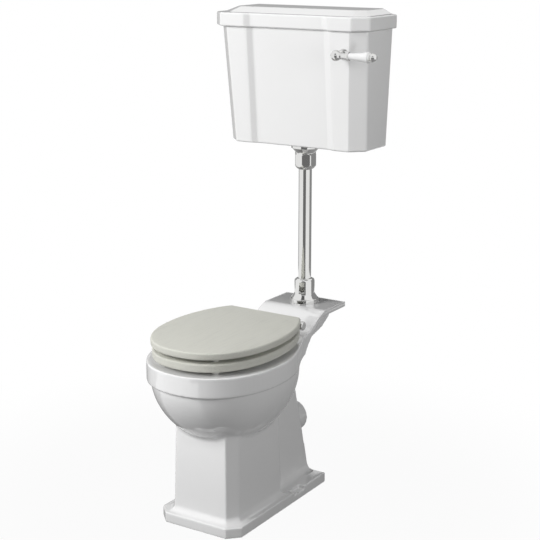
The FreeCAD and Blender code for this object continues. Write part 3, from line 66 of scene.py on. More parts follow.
# Shader maths as plain expressions on sockets.
class Value:
    def __init__(self, nodes, socket):
        self.nodes = nodes
        self.socket = socket

    def work(self, operation, first, second):
        return self.nodes.add("ShaderNodeMath", {"operation": operation}, {0: first, 1: second})

    def __add__(self, other):
        return self.work("ADD", self, other)

    def __radd__(self, other):
        return self.work("ADD", other, self)

    def __sub__(self, other):
        return self.work("SUBTRACT", self, other)

    def __rsub__(self, other):
        return self.work("SUBTRACT", other, self)

    def __mul__(self, other):
        return self.work("MULTIPLY", self, other)

    def __rmul__(self, other):
        return self.work("MULTIPLY", other, self)


class Nodes:
    def __init__(self, tree):
        self.tree = tree
        tree.nodes.clear()

    # Any node: its type, its settings (set first), the values or links of its sockets.
    def add(self, kind, settings=None, inputs=None, output=0):
        node = self.tree.nodes.new(kind)
        for name, setting in (settings or {}).items():
            setattr(node, name, setting)
        for name, given in (inputs or {}).items():
            if isinstance(given, Value):
                self.tree.links.new(given.socket, node.inputs[name])
            else:
                node.inputs[name].default_value = given
        return Value(self, node.outputs[output]) if len(node.outputs) else None


def grey(level):
    return (level, level, level, 1)


# Noise on the piece's own coordinates, the pattern that every finish starts from.
def mottle(nodes, scale, detail=3.0, stretch=(1, 1, 1)):
    spot = nodes.add("ShaderNodeTexCoord", output="Object")
    placed = nodes.add("ShaderNodeMapping", {}, {"Vector": spot, "Scale": stretch})
    return nodes.add(
        "ShaderNodeTexNoise", {}, {"Vector": placed, "Scale": scale, "Detail": detail}
    )


def tint(nodes, share, dark, light):
    return nodes.add(
        "ShaderNodeMix", {"data_type": "RGBA"}, {0: share, 6: dark, 7: light}, output=2
    )


def ripple(nodes, height, depth, strength=1.0):
    return nodes.add(
        "ShaderNodeBump", {}, {"Height": height, "Distance": depth, "Strength": strength}
    )


def newFinish(name):
    finish = bpy.data.materials.new(name)
    finish.use_nodes = True
    return finish, Nodes(finish.node_tree)


def close(finish, nodes, surface):
    nodes.add("ShaderNodeOutputMaterial", {}, {"Surface": surface})
    return finish


def closeShaded(finish, nodes, sockets):
    return close(finish, nodes, nodes.add("ShaderNodeBsdfPrincipled", {}, sockets))


glaze = {
    "light": 0.82, "dark": 0.79, "cloudScale": 7.0, "gloss": 0.03, "glossSpread": 0.04,
    "ior": 1.7, "coat": 0.75, "coatSpread": 0.25, "coatGloss": 0.02,
    "waveScale": 26.0, "waveDetail": 1.0, "wave": 0.0003,
}
handleGlaze = {**glaze, "wave": 0.0001}


def glazedCeramic(name, look):
    finish, nodes = newFinish(name)
    cloud = mottle(nodes, look["cloudScale"])
    wave = mottle(nodes, look["waveScale"], look["waveDetail"])
    return closeShaded(finish, nodes, {
        "Base Color": tint(nodes, cloud, grey(look["dark"]), grey(look["light"])),
        "Roughness": look["gloss"] + look["glossSpread"] * cloud,
        "IOR": look["ior"],
        "Coat Weight": look["coat"] + look["coatSpread"] * cloud,
        "Coat Roughness": look["coatGloss"],
        "Coat IOR": look["ior"],
        "Normal": ripple(nodes, wave, look["wave"]),
    })


# The three patterns of the wood are each (scale, detail, stretch).
seatPaint = {
    "light": (0.66, 0.66, 0.6, 1), "dark": (0.53, 0.53, 0.482, 1),
    "gloss": 0.36, "glossSpread": 0.18, "ior": 1.45,
    "grain": (5.0, 5.0, (26, 1.6, 26)), "grainShare": 0.55,
    "fibres": (30.0, 3.0, (22, 1.2, 22)), "fibreShare": 0.45,
    "pores": (9.0, 4.0, (30, 1.4, 30)), "poreShare": 0.3, "poreStart": 0.56, "poreFull": 0.68,
    "depth": 0.0014, "strength": 0.7,
}


def paintedWood(name, look):
    finish, nodes = newFinish(name)
    grain = mottle(nodes, *look["grain"])
    fibres = mottle(nodes, *look["fibres"])
    pores = nodes.add(
        "ShaderNodeMapRange",
        {"interpolation_type": "SMOOTHSTEP"},
        {
            "Value": mottle(nodes, *look["pores"]),
            "From Min": look["poreStart"],
            "From Max": look["poreFull"],
        },
    )
    wood = look["grainShare"] * grain + look["fibreShare"] * fibres
    figure = wood - look["poreShare"] * pores
    return closeShaded(finish, nodes, {
        "Base Color": tint(nodes, figure, look["dark"], look["light"]),
        "Roughness": look["gloss"] + look["glossSpread"] * figure,
        "IOR": look["ior"],
        "Normal": ripple(nodes, figure, look["depth"], look["strength"]),
    })


metalWork = {"scale": 45.0, "detail": 4.0, "depth": 0.00002}
chrome = {
    "light": (0.77, 0.77, 0.76, 1), "dark": (0.72, 0.72, 0.71, 1),
    "gloss": 0.03, "glossSpread": 0.05,
}
brass = {
    "light": (0.80, 0.62, 0.30, 1), "dark": (0.66, 0.48, 0.20, 1),
    "gloss": 0.2, "glossSpread": 0.2,
}
steel = {
    "light": (0.62, 0.62, 0.62, 1), "dark": (0.48, 0.48, 0.49, 1),
    "gloss": 0.22, "glossSpread": 0.2,
}


def polishedMetal(name, look):
    finish, nodes = newFinish(name)
    cloud = mottle(nodes, metalWork["scale"], metalWork["detail"])
    return closeShaded(finish, nodes, {
        "Base Color": tint(nodes, cloud, look["dark"], look["light"]),
        "Roughness": look["gloss"] + look["glossSpread"] * cloud,
        "Metallic": 1.0,
        "Normal": ripple(nodes, cloud, metalWork["depth"]),
    })


moulding = {
    "scale": 60.0, "glossSpread": 0.15, "ior": 1.48,
    "grainDetail": 2.0, "depth": 0.0001, "strength": 0.5,
}
rubber = {
    "light": (0.035, 0.035, 0.037, 1), "dark": (0.02, 0.02, 0.021, 1),
    "gloss": 0.55, "grainScale": 900.0,
}
whitePlastic = {
    "light": (0.78, 0.78, 0.76, 1), "dark": (0.72, 0.72, 0.70, 1),
    "gloss": 0.28, "grainScale": 700.0,
}
floatPlastic = {
    "light": (0.80, 0.24, 0.04, 1), "dark": (0.70, 0.19, 0.03, 1),
    "gloss": 0.3, "grainScale": 500.0,
}


def mouldedPiece(name, look):
    finish, nodes = newFinish(name)
    cloud = mottle(nodes, moulding["scale"])
    grain = mottle(nodes, look["grainScale"], moulding["grainDetail"])
    return closeShaded(finish, nodes, {
        "Base Color": tint(nodes, cloud, look["dark"], look["light"]),
        "Roughness": look["gloss"] + moulding["glossSpread"] * cloud,
        "IOR": moulding["ior"],
        "Normal": ripple(nodes, grain, moulding["depth"], moulding["strength"]),
    })


finishes = {
    "ceramic": glazedCeramic("glazedCeramic", glaze),
    "handle_ceramic": glazedCeramic("handleCeramic", handleGlaze),
    "seat_paint": paintedWood("seatPaint", seatPaint),
    "chrome": polishedMetal("polishedChrome", chrome),
    "brass": polishedMetal("turnedBrass", brass),
    "steel": polishedMetal("brightSteel", steel),
    "rubber": mouldedPiece("blackRubber", rubber),
    "white_plastic": mouldedPiece("whitePlastic", whitePlastic),
    "float_plastic": mouldedPiece("floatPlastic", floatPlastic),
}
print("finishes made:", len(finishes))


# Distances in metres below which vertices merge, and the angle (degrees) that counts as flat.
meshRules = {"cadWeld": 0.00002, "turnedWeld": 0.000005, "flatAngle": 0.5, "wireSeed": 0.001}


def clearSelection():
    if bpy.context.object and bpy.context.object.mode != "OBJECT":
        bpy.ops.object.mode_set(mode="OBJECT")
    bpy.ops.object.select_all(action="DESELECT")


def takeUp(piece):
    clearSelection()
    piece.select_set(True)
    bpy.context.view_layer.objects.active = piece


def rename(piece, name):
    piece.name = name
    piece.data.name = name
    return piece


# A copy of a CAD node with its loose triangles merged.
def mergedCopy(node, name):
    takeUp(frame["nodes"][node])
    bpy.ops.object.duplicate(linked=False)
    piece = rename(bpy.context.object, name)
    bpy.ops.object.parent_clear(type="CLEAR_KEEP_TRANSFORM")
    for label in list(piece.keys()):
        del piece[label]
    if piece.data.has_custom_normals:
        bpy.ops.mesh.customdata_custom_splitnormals_clear()
    bpy.ops.object.mode_set(mode="EDIT")
    bpy.ops.mesh.select_all(action="SELECT")
    bpy.ops.mesh.remove_doubles(threshold=meshRules["cadWeld"])
    bpy.ops.object.mode_set(mode="OBJECT")
    return piece


# The same with flat faces whole again, so that a bevel meets true edges.
def flatFacedCopy(node, name):
    piece = mergedCopy(node, name)
    bpy.ops.object.mode_set(mode="EDIT")
    bpy.ops.mesh.select_all(action="SELECT")
    bpy.ops.mesh.dissolve_limited(angle_limit=math.radians(meshRules["flatAngle"]))
    bpy.ops.object.mode_set(mode="OBJECT")
    return piece


def applyModifier(piece, kind, **settings):
    takeUp(piece)
    modifier = piece.modifiers.new(kind.title(), kind)
    for name, setting in settings.items():
        setattr(modifier, name, setting)
    bpy.ops.object.modifier_apply(modifier=modifier.name)


def roundEdges(piece, width, segments, angle):
    applyModifier(
        piece, "BEVEL", width=width, segments=segments, limit_method="ANGLE",
        angle_limit=math.radians(angle), use_clamp_overlap=False,
    )


# Finish, body and slot all come from the CAD nodes that the piece stands for.
def finishPiece(piece, *nodes, angle=35, flats=False):
    takeUp(piece)
    bpy.ops.object.shade_smooth_by_angle(angle=math.radians(angle))
    if flats:
        applyModifier(piece, "WEIGHTED_NORMAL", keep_sharp=True)
    slot = slotOf[nodes[0]]
    piece.data.materials.clear()
    piece.data.materials.append(finishes[slot])
    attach(piece, bodyOf[nodes[0]])
    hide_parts(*nodes)
    print(piece.name, "done:", len(piece.data.polygons), "faces")


def joinPieces(name, *pieces):
    clearSelection()
    for piece in pieces:
        piece.select_set(True)
    bpy.context.view_layer.objects.active = pieces[0]
    bpy.ops.object.join()
    return rename(pieces[0], name)


# A wire through the points, extruded one vertex at a time.
def drawWire(name, points):
    clearSelection()
    bpy.ops.mesh.primitive_plane_add(size=meshRules["wireSeed"], location=(0, 0, 0))
    piece = rename(bpy.context.object, name)
    bpy.ops.object.mode_set(mode="EDIT")
    bpy.ops.mesh.select_all(action="SELECT")
    bpy.ops.mesh.merge(type="CENTER")
    bpy.ops.transform.translate(value=points[0])
    for here, onward in zip(points, points[1:]):
        step = Vector(onward) - Vector(here)
        bpy.ops.mesh.extrude_region_move(TRANSFORM_OT_translate={"value": step})
    return piece


# Corners of a turned outline, in millimetres: (radius, distance along the axis, rounding if any).
def roundedOutline(corners, steps=6):
    points = []
    for index, corner in enumerate(corners):
        here = Vector(corner[:2])
        if len(corner) < 3 or index in (0, len(corners) - 1):
            points.append(here)
            continue
        back = (Vector(corners[index - 1][:2]) - here).normalized()
        onward = (Vector(corners[index + 1][:2]) - here).normalized()
        half = math.acos(max(-1, min(1, back.dot(onward)))) / 2
        trim = corner[2] / math.tan(half)
        centre = here + (back + onward).normalized() * corner[2] / math.sin(half)
        start, stop = here + back * trim - centre, here + onward * trim - centre
        turn = start.angle_signed(stop)
        for step in range(steps + 1):
            angle = -turn * step / steps
            points.append(centre + Vector((
                start.x * math.cos(angle) - start.y * math.sin(angle),
                start.x * math.sin(angle) + start.y * math.cos(angle),
            )))
    return points


axes = {"x": Vector((1, 0, 0)), "y": Vector((0, 1, 0)), "z": Vector((0, 0, 1))}


# A piece turned about an axis through the point at, which is in millimetres too.
def turnPiece(name, corners, at, along="z", turns=96):
    axis = axes[along]
    across = axes["x"] if along == "z" else axes["z"]
    foot = Vector(at) / 1000
    outline = [foot + (across * p.x + axis * p.y) / 1000 for p in roundedOutline(corners)]
    piece = drawWire(name, outline)
    bpy.ops.mesh.select_all(action="SELECT")
    bpy.ops.mesh.spin(steps=turns, angle=2 * math.pi, center=foot, axis=axis)
    bpy.ops.mesh.select_all(action="SELECT")
    bpy.ops.mesh.remove_doubles(threshold=meshRules["turnedWeld"])
    bpy.ops.mesh.normals_make_consistent(inside=False)
    bpy.ops.object.mode_set(mode="OBJECT")
    return piece


# Pan: one skin round the casting, softened as by glaze, with a fillet where bowl meets column.
panShape = {
    "voxel": 0.0026, "smoothing": 0.5, "softening": 5,
    "filletReach": 11, "filletSoftening": 36, "triangles": 185000,
}
bowlShape = {
    "top": 411, "base": 216, "curve": 1.85, "power": 2.2,
    "half": 178, "front": 227, "rear": 229, "middle": -82, "shift": 15.5,
    "lowest": 222, "filletTop": 345,
}


# How far a point (in millimetres) lies from the bowl's egg-shaped outside.
def offBowl(point, bowl):
    if not bowl["lowest"] < point.z < bowl["filletTop"]:
        return math.inf
    depth = (bowl["top"] - point.z) / (bowl["top"] - bowl["base"])
    share = math.sqrt(1 - depth ** bowl["curve"])
    forward = point.y - bowl["middle"] - bowl["shift"] * depth
    reach = (bowl["front"] if forward < 0 else bowl["rear"]) * share
    across = abs(point.x) / (bowl["half"] * share)
    power = bowl["power"]
    size = (across ** power + abs(forward / reach) ** power) ** (1 / power)
    return abs(size - 1) * bowl["half"] * share


pan = mergedCopy("pan", "glazedPan")
applyModifier(pan, "REMESH", mode="VOXEL", voxel_size=panShape["voxel"], use_smooth_shade=True)
applyModifier(pan, "SMOOTH", factor=panShape["smoothing"], iterations=panShape["softening"])
near = [
    vertex.index for vertex in pan.data.vertices
    if offBowl(vertex.co * 1000, bowlShape) < panShape["filletReach"]
]
fillet = pan.vertex_groups.new(name="bowlFillet")
fillet.add(near, 1.0, "REPLACE")
applyModifier(
    pan, "SMOOTH", factor=panShape["smoothing"], iterations=panShape["filletSoftening"],
    vertex_group=fillet.name,
)
pan.vertex_groups.clear()
keep = panShape["triangles"] / (2 * len(pan.data.polygons))
applyModifier(pan, "DECIMATE", decimate_type="COLLAPSE", ratio=keep)
finishPiece(pan, "pan", angle=180)


# Cistern and its lid: glaze rounds the edges of their outsides, those of holes and hollows stay.
glazeEdge = {"width": 0.005, "segments": 5, "shortest": 0.006}
glazedPieces = {
    "cistern": {"name": "glazedCistern", "angle": 20},
    "cistern_lid": {"name": "glazedLid", "angle": 12},
}


# Gives a bevel weight to the long edges that face away from the piece's upright middle.
def markOutsideEdges(piece, angle):
    corners = [Vector(corner) for corner in piece.bound_box]
    middle = sum(corners, Vector()) / len(corners)
    facesOf = {}
    for face in piece.data.polygons:
        for key in face.edge_keys:
            facesOf.setdefault(key, []).append(face.normal)
    chosen = []
    for edge in piece.data.edges:
        normals = facesOf.get(tuple(sorted(edge.vertices)), [])
        first, second = (piece.data.vertices[index].co for index in edge.vertices)
        if len(normals) != 2 or (first - second).length < glazeEdge["shortest"]:
            continue
        outward = ((first + second) / 2 - middle).xy
        facing = (normals[0] + normals[1]).xy
        if normals[0].angle(normals[1]) > math.radians(angle) and facing.dot(outward) > 0:
            chosen.append(edge.index)
    takeUp(piece)
    bpy.ops.object.mode_set(mode="EDIT")
    bpy.ops.mesh.select_mode(type="EDGE")
    bpy.ops.mesh.select_all(action="DESELECT")
    bpy.ops.object.mode_set(mode="OBJECT")
    for index in chosen:
        piece.data.edges[index].select = True
    bpy.ops.object.mode_set(mode="EDIT")
    bpy.ops.transform.edge_bevelweight(value=1.0)
    bpy.ops.mesh.select_mode(type="VERT")
    bpy.ops.object.mode_set(mode="OBJECT")


for node, shape in glazedPieces.items():
    glazed = flatFacedCopy(node, shape["name"])
    markOutsideEdges(glazed, shape["angle"])
    applyModifier(
        glazed, "BEVEL", width=glazeEdge["width"], segments=glazeEdge["segments"],
        limit_method="WEIGHT", use_clamp_overlap=False,
    )
    finishPiece(glazed, node, flats=True)


# Seat boards, whose edges are already round.
for node, name in (("seat_ring", "paintedRing"), ("seat_lid", "paintedLid")):
    finishPiece(mergedCopy(node, name), node, angle=40)


# Flush pipe and its fittings, all on one upright axis.
pipeShape = {"x": 0, "y": 328, "foot": 493, "length": 453, "radius": 19, "bore": 17.5}


def onPipe(height):
    return (pipeShape["x"], pipeShape["y"], height)


pipe = turnPiece(
    "flushPipe",
    [
        (pipeShape["bore"], 0),
        (pipeShape["radius"], 0),
        (pipeShape["radius"], pipeShape["length"]),
        (pipeShape["bore"], pipeShape["length"]),
        (pipeShape["bore"], 0),
    ],
    onPipe(pipeShape["foot"]),
)
finishPiece(pipe, "flush_pipe", angle=30)

bellShape = {
    "foot": 508, "disc": 41.5, "discTop": 13, "discRound": 1.5, "step": 38.5, "stepRound": 0.6,
    "cone": 38.1, "coneFoot": 15, "coneRound": 1.2,
    "throat": 30.1, "throatFoot": 27, "throatRound": 12,
    "neck": 29.5, "shoulder": 71.5, "crownRound": 8.8, "lip": 19.4, "top": 73,
}
bell = turnPiece(
    "pipeBell",
    [
        (pipeShape["radius"], 0),
        (bellShape["disc"], 0),
        (bellShape["disc"], bellShape["discTop"], bellShape["discRound"]),
        (bellShape["step"], bellShape["discTop"], bellShape["stepRound"]),
        (bellShape["cone"], bellShape["coneFoot"], bellShape["coneRound"]),
        (bellShape["throat"], bellShape["throatFoot"], bellShape["throatRound"]),
        (bellShape["neck"], bellShape["shoulder"], bellShape["crownRound"]),
        (bellShape["lip"], bellShape["top"]),
        (pipeShape["radius"], bellShape["top"]),
        (pipeShape["radius"], 0),
    ],
    onPipe(bellShape["foot"]),
)
finishPiece(bell, "pan_bell", angle=30)

# The nut is an eight-sided bar, cut back to a turned outline.
nutShape = {
    "foot": 904, "height": 47.5, "corner": 32.4, "sides": 8, "turn": 14,
    "edge": 1.2, "edgeSteps": 3, "edgeAngle": 30, "spare": 1, "lip": 20.6, "lipTop": 0.2,
    "belly": 31.6, "bellyFoot": 6, "bellyRound": 17,
    "shoulder": 42.5, "shoulderRound": 6, "crown": 29.1,
}
clearSelection()
bpy.ops.mesh.primitive_cylinder_add(
    vertices=nutShape["sides"],
    radius=nutShape["corner"] / 1000,
    depth=nutShape["height"] / 1000,
    location=Vector(onPipe(nutShape["foot"] + nutShape["height"] / 2)) / 1000,
    rotation=(0, 0, math.radians(nutShape["turn"])),
)
nut = rename(bpy.context.object, "pipeNut")
bpy.ops.object.transform_apply(location=True, rotation=True, scale=True)
roundEdges(nut, nutShape["edge"] / 1000, nutShape["edgeSteps"], nutShape["edgeAngle"])
nutTurning = turnPiece(
    "nutTurning",
    [
        (0, -nutShape["spare"]),
        (nutShape["lip"], -nutShape["spare"]),
        (nutShape["lip"], nutShape["lipTop"]),
        (nutShape["belly"], nutShape["bellyFoot"], nutShape["bellyRound"]),
        (nutShape["belly"], nutShape["shoulder"], nutShape["shoulderRound"]),
        (nutShape["crown"], nutShape["height"] + nutShape["spare"]),
        (0, nutShape["height"] + nutShape["spare"]),
    ],
    onPipe(nutShape["foot"]),
)
applyModifier(nut, "BOOLEAN", operation="INTERSECT", object=nutTurning, solver="EXACT")
takeUp(nutTurning)
bpy.ops.object.delete()
finishPiece(nut, "pipe_nut", flats=True)

flangeShape = {
    "foot": 951, "neck": 30, "throat": 30.5, "throatFoot": 4, "throatRound": 9,
    "rim": 41, "rimFoot": 15, "rimRound": 1, "height": 25.5, "topRound": 0.5,
}
flange = turnPiece(
    "cisternFlange",
    [
        (pipeShape["radius"], 0),
        (flangeShape["neck"], 0),
        (flangeShape["throat"], flangeShape["throatFoot"], flangeShape["throatRound"]),
        (flangeShape["rim"], flangeShape["rimFoot"], flangeShape["rimRound"]),
        (flangeShape["rim"], flangeShape["height"], flangeShape["topRound"]),
        (pipeShape["radius"], flangeShape["height"]),
        (pipeShape["radius"], 0),
    ],
    onPipe(flangeShape["foot"]),
)
finishPiece(flange, "cistern_flange", angle=30)


# Flush lever: the rosette stays on the wall, the rest turns with the spindle.
leverPlace = {"x": 178, "y": 185.55, "z": 1246, "turns": 64}


def alongLever(distance):
    return (leverPlace["x"] + distance, leverPlace["y"], leverPlace["z"])


rosetteShape = {
    "face": 218.55, "bore": 7.9, "front": 11.4, "frontRound": 1,
    "shoulder": 13.8, "shoulderDepth": 3.2, "shoulderRound": 2,
    "rim": 15, "rimDepth": 5, "rimRound": 1, "depth": 13,
}
rosette = turnPiece(
    "leverRosette",
    [
        (rosetteShape["bore"], 0),
        (rosetteShape["front"], 0, rosetteShape["frontRound"]),
        (rosetteShape["shoulder"], rosetteShape["shoulderDepth"], rosetteShape["shoulderRound"]),
        (rosetteShape["rim"], rosetteShape["rimDepth"], rosetteShape["rimRound"]),
        (rosetteShape["rim"], rosetteShape["depth"]),
        (rosetteShape["bore"], rosetteShape["depth"]),
        (rosetteShape["bore"], 0),
    ],
    (leverPlace["x"], rosetteShape["face"], leverPlace["z"]),
    along="y",
    turns=leverPlace["turns"],
)
finishPiece(rosette, "lever_rosette", angle=30)

# Lever arm: a ball on a ringed neck, and a rod that grows from the ball.
hubShape = {
    "ball": 15, "ballArc": (0, 141, 7), "neck": 8.5, "neckStart": 13, "neckRound": 1.5,
    "ring": 11, "ringStart": 18, "ringFoot": 19.5, "ringTop": 23, "ringEnd": 24.5,
    "ringRound": 1, "root": 9, "gap": 0.3,
}
neckLength = rosetteShape["face"] - hubShape["gap"] - leverPlace["y"]
ball = [
    (hubShape["ball"] * math.sin(math.radians(a)), -hubShape["ball"] * math.cos(math.radians(a)))
    for a in range(*hubShape["ballArc"])
]
hub = turnPiece(
    "leverHub",
    ball + [
        (hubShape["neck"], hubShape["neckStart"], hubShape["neckRound"]),
        (hubShape["neck"], hubShape["ringStart"], hubShape["ringRound"]),
        (hubShape["ring"], hubShape["ringFoot"], hubShape["ringRound"]),
        (hubShape["ring"], hubShape["ringTop"], hubShape["ringRound"]),
        (hubShape["neck"], hubShape["ringEnd"], hubShape["ringRound"]),
        (hubShape["root"], neckLength),
        (0, neckLength),
    ],
    alongLever(0),
    along="y",
    turns=leverPlace["turns"],
)
rodShape = {
    "bulge": 9.5, "bulgeStart": 10, "bulgeEnd": 14.5, "waist": 7.6, "waistStart": 17.5,
    "waistEnd": 29, "waistRound": 2, "cuff": 9, "cuffStart": 32, "cuffRound": 1.5, "length": 36,
}
rod = turnPiece(
    "leverRod",
    [
        (0, 0),
        (rodShape["bulge"], rodShape["bulgeStart"]),
        (rodShape["bulge"], rodShape["bulgeEnd"], rodShape["waistRound"]),
        (rodShape["waist"], rodShape["waistStart"], rodShape["waistRound"]),
        (rodShape["waist"], rodShape["waistEnd"], rodShape["waistRound"]),
        (rodShape["cuff"], rodShape["cuffStart"], rodShape["cuffRound"]),
        (rodShape["cuff"], rodShape["length"]),
        (0, rodShape["length"]),
    ],
    alongLever(0),
    along="x",
    turns=leverPlace["turns"],
)
finishPiece(joinPieces("leverArm", hub, rod), "lever_arm", angle=30)

collarShape = {
    "foot": 9.5, "footRound": 0.5, "rim": 12.5, "rimStart": 1.8, "rimEnd": 3.6, "rimRound": 1,
    "end": 9.8, "length": 5,
}
collarStart = rodShape["length"]
collar = turnPiece(
    "leverCollar",
    [
        (0, 0),
        (collarShape["foot"], 0, collarShape["footRound"]),
        (collarShape["rim"], collarShape["rimStart"], collarShape["rimRound"]),
        (collarShape["rim"], collarShape["rimEnd"], collarShape["rimRound"]),
        (collarShape["end"], collarShape["length"]),
        (0, collarShape["length"]),
    ],
    alongLever(collarStart),
    along="x",
    turns=leverPlace["turns"],
)
finishPiece(collar, "lever_collar", angle=30)

# The handle flares like a trumpet: slim at the neck, full at the end.
handleShape = {
    "neck": 9.2, "end": 15, "flare": 54, "flareSteps": 10, "flarePower": 1.6,
    "rim": 15.2, "rimStart": 57.5, "rimRound": 1.8, "face": 12.9, "faceRound": 1, "length": 60,
}
handleStart = collarStart + collarShape["length"]
flare = []
for step in range(handleShape["flareSteps"] + 1):
    share = step / handleShape["flareSteps"]
    swell = share ** handleShape["flarePower"]
    flare.append((
        handleShape["neck"] + (handleShape["end"] - handleShape["neck"]) * swell,
        handleShape["flare"] * share,
    ))
handle = turnPiece(
    "leverHandle",
    [(0, 0)] + flare + [
        (handleShape["rim"], handleShape["rimStart"], handleShape["rimRound"]),
        (handleShape["face"], handleShape["length"], handleShape["faceRound"]),
        (0, handleShape["length"]),
    ],
    alongLever(handleStart),
    along="x",
    turns=leverPlace["turns"],
)
finishPiece(handle, "lever_handle", angle=30)

endCapShape = {
    "rim": 12.5, "rimEnd": 3.4, "rimRound": 1, "groove": 9.9, "grooveStart": 4.6,
    "grooveEnd": 6.2, "grooveRound": 0.8, "band": 11.9, "bandStart": 7.6,
    "shoulder": 11.7, "shoulderEnd": 10.1,
    "dome": 10.75, "domeFoot": 9.5, "domeHeight": 12.5, "domeArc": (10, 91, 8),
}
dome = [
    (
        endCapShape["dome"] * math.cos(math.radians(a)),
        endCapShape["domeFoot"] + endCapShape["domeHeight"] * math.sin(math.radians(a)),
    )
    for a in range(*endCapShape["domeArc"])
]
endCap = turnPiece(
    "leverEndCap",
    [
        (0, 0),
        (endCapShape["rim"], 0),
        (endCapShape["rim"], endCapShape["rimEnd"], endCapShape["rimRound"]),
        (endCapShape["groove"], endCapShape["grooveStart"], endCapShape["grooveRound"]),
        (endCapShape["groove"], endCapShape["grooveEnd"], endCapShape["grooveRound"]),
        (endCapShape["band"], endCapShape["bandStart"], endCapShape["grooveRound"]),
        (endCapShape["shoulder"], endCapShape["shoulderEnd"]),
    ] + dome,
    alongLever(handleStart + handleShape["length"]),
    along="x",
    turns=leverPlace["turns"],
)
finishPiece(endCap, "lever_end_cap", angle=30)


# Hinge: two caps with blind sockets for the ends of the bar.
hingeCapShape = {
    "y": 128, "z": 502, "start": 107.5, "bar": 6, "socket": 8, "foot": 11.7, "footRound": 0.6,
    "rim": 12.5, "rimStart": 1.5, "rimEnd": 10.2, "face": 10.7, "faceRound": 1.5,
    "length": 12, "turns": 48,
}
capPair = []
for side in (-1, 1):
    capPair.append(turnPiece(
        "hingeCap",
        [
            (0, side * hingeCapShape["socket"]),
            (hingeCapShape["bar"], side * hingeCapShape["socket"]),
            (hingeCapShape["bar"], 0),
            (hingeCapShape["foot"], 0, hingeCapShape["footRound"]),
            (hingeCapShape["rim"], side * hingeCapShape["rimStart"], hingeCapShape["footRound"]),
            (hingeCapShape["rim"], side * hingeCapShape["rimEnd"], hingeCapShape["faceRound"]),
            (hingeCapShape["face"], side * hingeCapShape["length"], hingeCapShape["faceRound"]),
            (0, side * hingeCapShape["length"]),
        ],
        (side * hingeCapShape["start"], hingeCapShape["y"], hingeCapShape["z"]),
        along="x",
        turns=hingeCapShape["turns"],
    ))
finishPiece(joinPieces("hingeCaps", *capPair), "hinge_end_caps", angle=30)

# Hinge pillars, and the white pads under ring and lid, with softened edges.
smallEdge = {"width": 0.0012, "segments": 3, "angle": 40}
smallPieces = {"hinge_pillars": "hingePosts", "ring_buffers": "ringPads", "lid_buffers": "lidPads"}
for node, name in smallPieces.items():
    small = flatFacedCopy(node, name)
    roundEdges(small, **smallEdge)
    finishPiece(small, node, angle=30)


# Nodes that keep their CAD shape take the finish of their slot.
for node, piece in frame["nodes"].items():
    piece.data.materials.clear()
    piece.data.materials.append(finishes[slotOf[node]])
print("CAD nodes finished:", len(frame["nodes"]))


# Pale floor: white for the camera and for mirror-like pieces. Near the object the white is turned
# down a little, which paints a faint shade round it and lets the matt floor's real shadow show.
studio = {
    "middle": 0.1, "floor": 0.17, "floorSize": 240, "glow": 0.955, "nearEdge": 0.5, "farEdge": 1.3,
    "worldDiffuse": 0.17,
}


def whiteRays(nodes):
    seen = nodes.add("ShaderNodeLightPath", output="Is Camera Ray")
    for kind in ("Is Glossy Ray", "Is Transmission Ray"):
        other = nodes.add("ShaderNodeLightPath", output=kind)
        seen = nodes.add("ShaderNodeMath", {"operation": "MAXIMUM"}, {0: seen, 1: other})
    return seen


def distanceFromOrigin(nodes):
    spot = nodes.add("ShaderNodeTexCoord", output="Object")
    return nodes.add(
        "ShaderNodeVectorMath", {"operation": "LENGTH"}, {0: spot}, output="Value"
    )


clearSelection()
bpy.ops.mesh.primitive_plane_add(size=studio["floorSize"], location=(0, 0, 0))
floor = rename(bpy.context.object, "paleFloor")
floorFinish, nodes = newFinish("paleFloor")
fade = nodes.add(
    "ShaderNodeMapRange",
    {"interpolation_type": "SMOOTHSTEP"},
    {
        "Value": distanceFromOrigin(nodes),
        "From Min": studio["nearEdge"],
        "From Max": studio["farEdge"],
        "To Min": studio["glow"],
        "To Max": 1.0,
    },
)
matt = nodes.add("ShaderNodeBsdfDiffuse", {}, {"Color": grey(studio["floor"])})
white = nodes.add("ShaderNodeEmission", {}, {"Color": grey(1.0), "Strength": 1.0})
mixed = nodes.add("ShaderNodeMixShader", {}, {0: whiteRays(nodes) * fade, 1: matt, 2: white})
floor.data.materials.append(close(floorFinish, nodes, mixed))

world = bpy.data.worlds.new("studioWorld")
scene.world = world
world.use_nodes = True
nodes = Nodes(world.node_tree)
shade = tint(nodes, whiteRays(nodes), grey(studio["worldDiffuse"]), grey(1.0))
sky = nodes.add("ShaderNodeBackground", {}, {"Color": shade, "Strength": 1.0})
nodes.add("ShaderNodeOutputWorld", {}, {"Surface": sky})


# A place round the object: azimuth 0 is straight in front, 90 to the right.
def placeRound(azimuth, distance, height):
    turn = math.radians(azimuth)
    forward = studio["middle"] - math.cos(turn) * distance
    return Vector((math.sin(turn) * distance, forward, height))


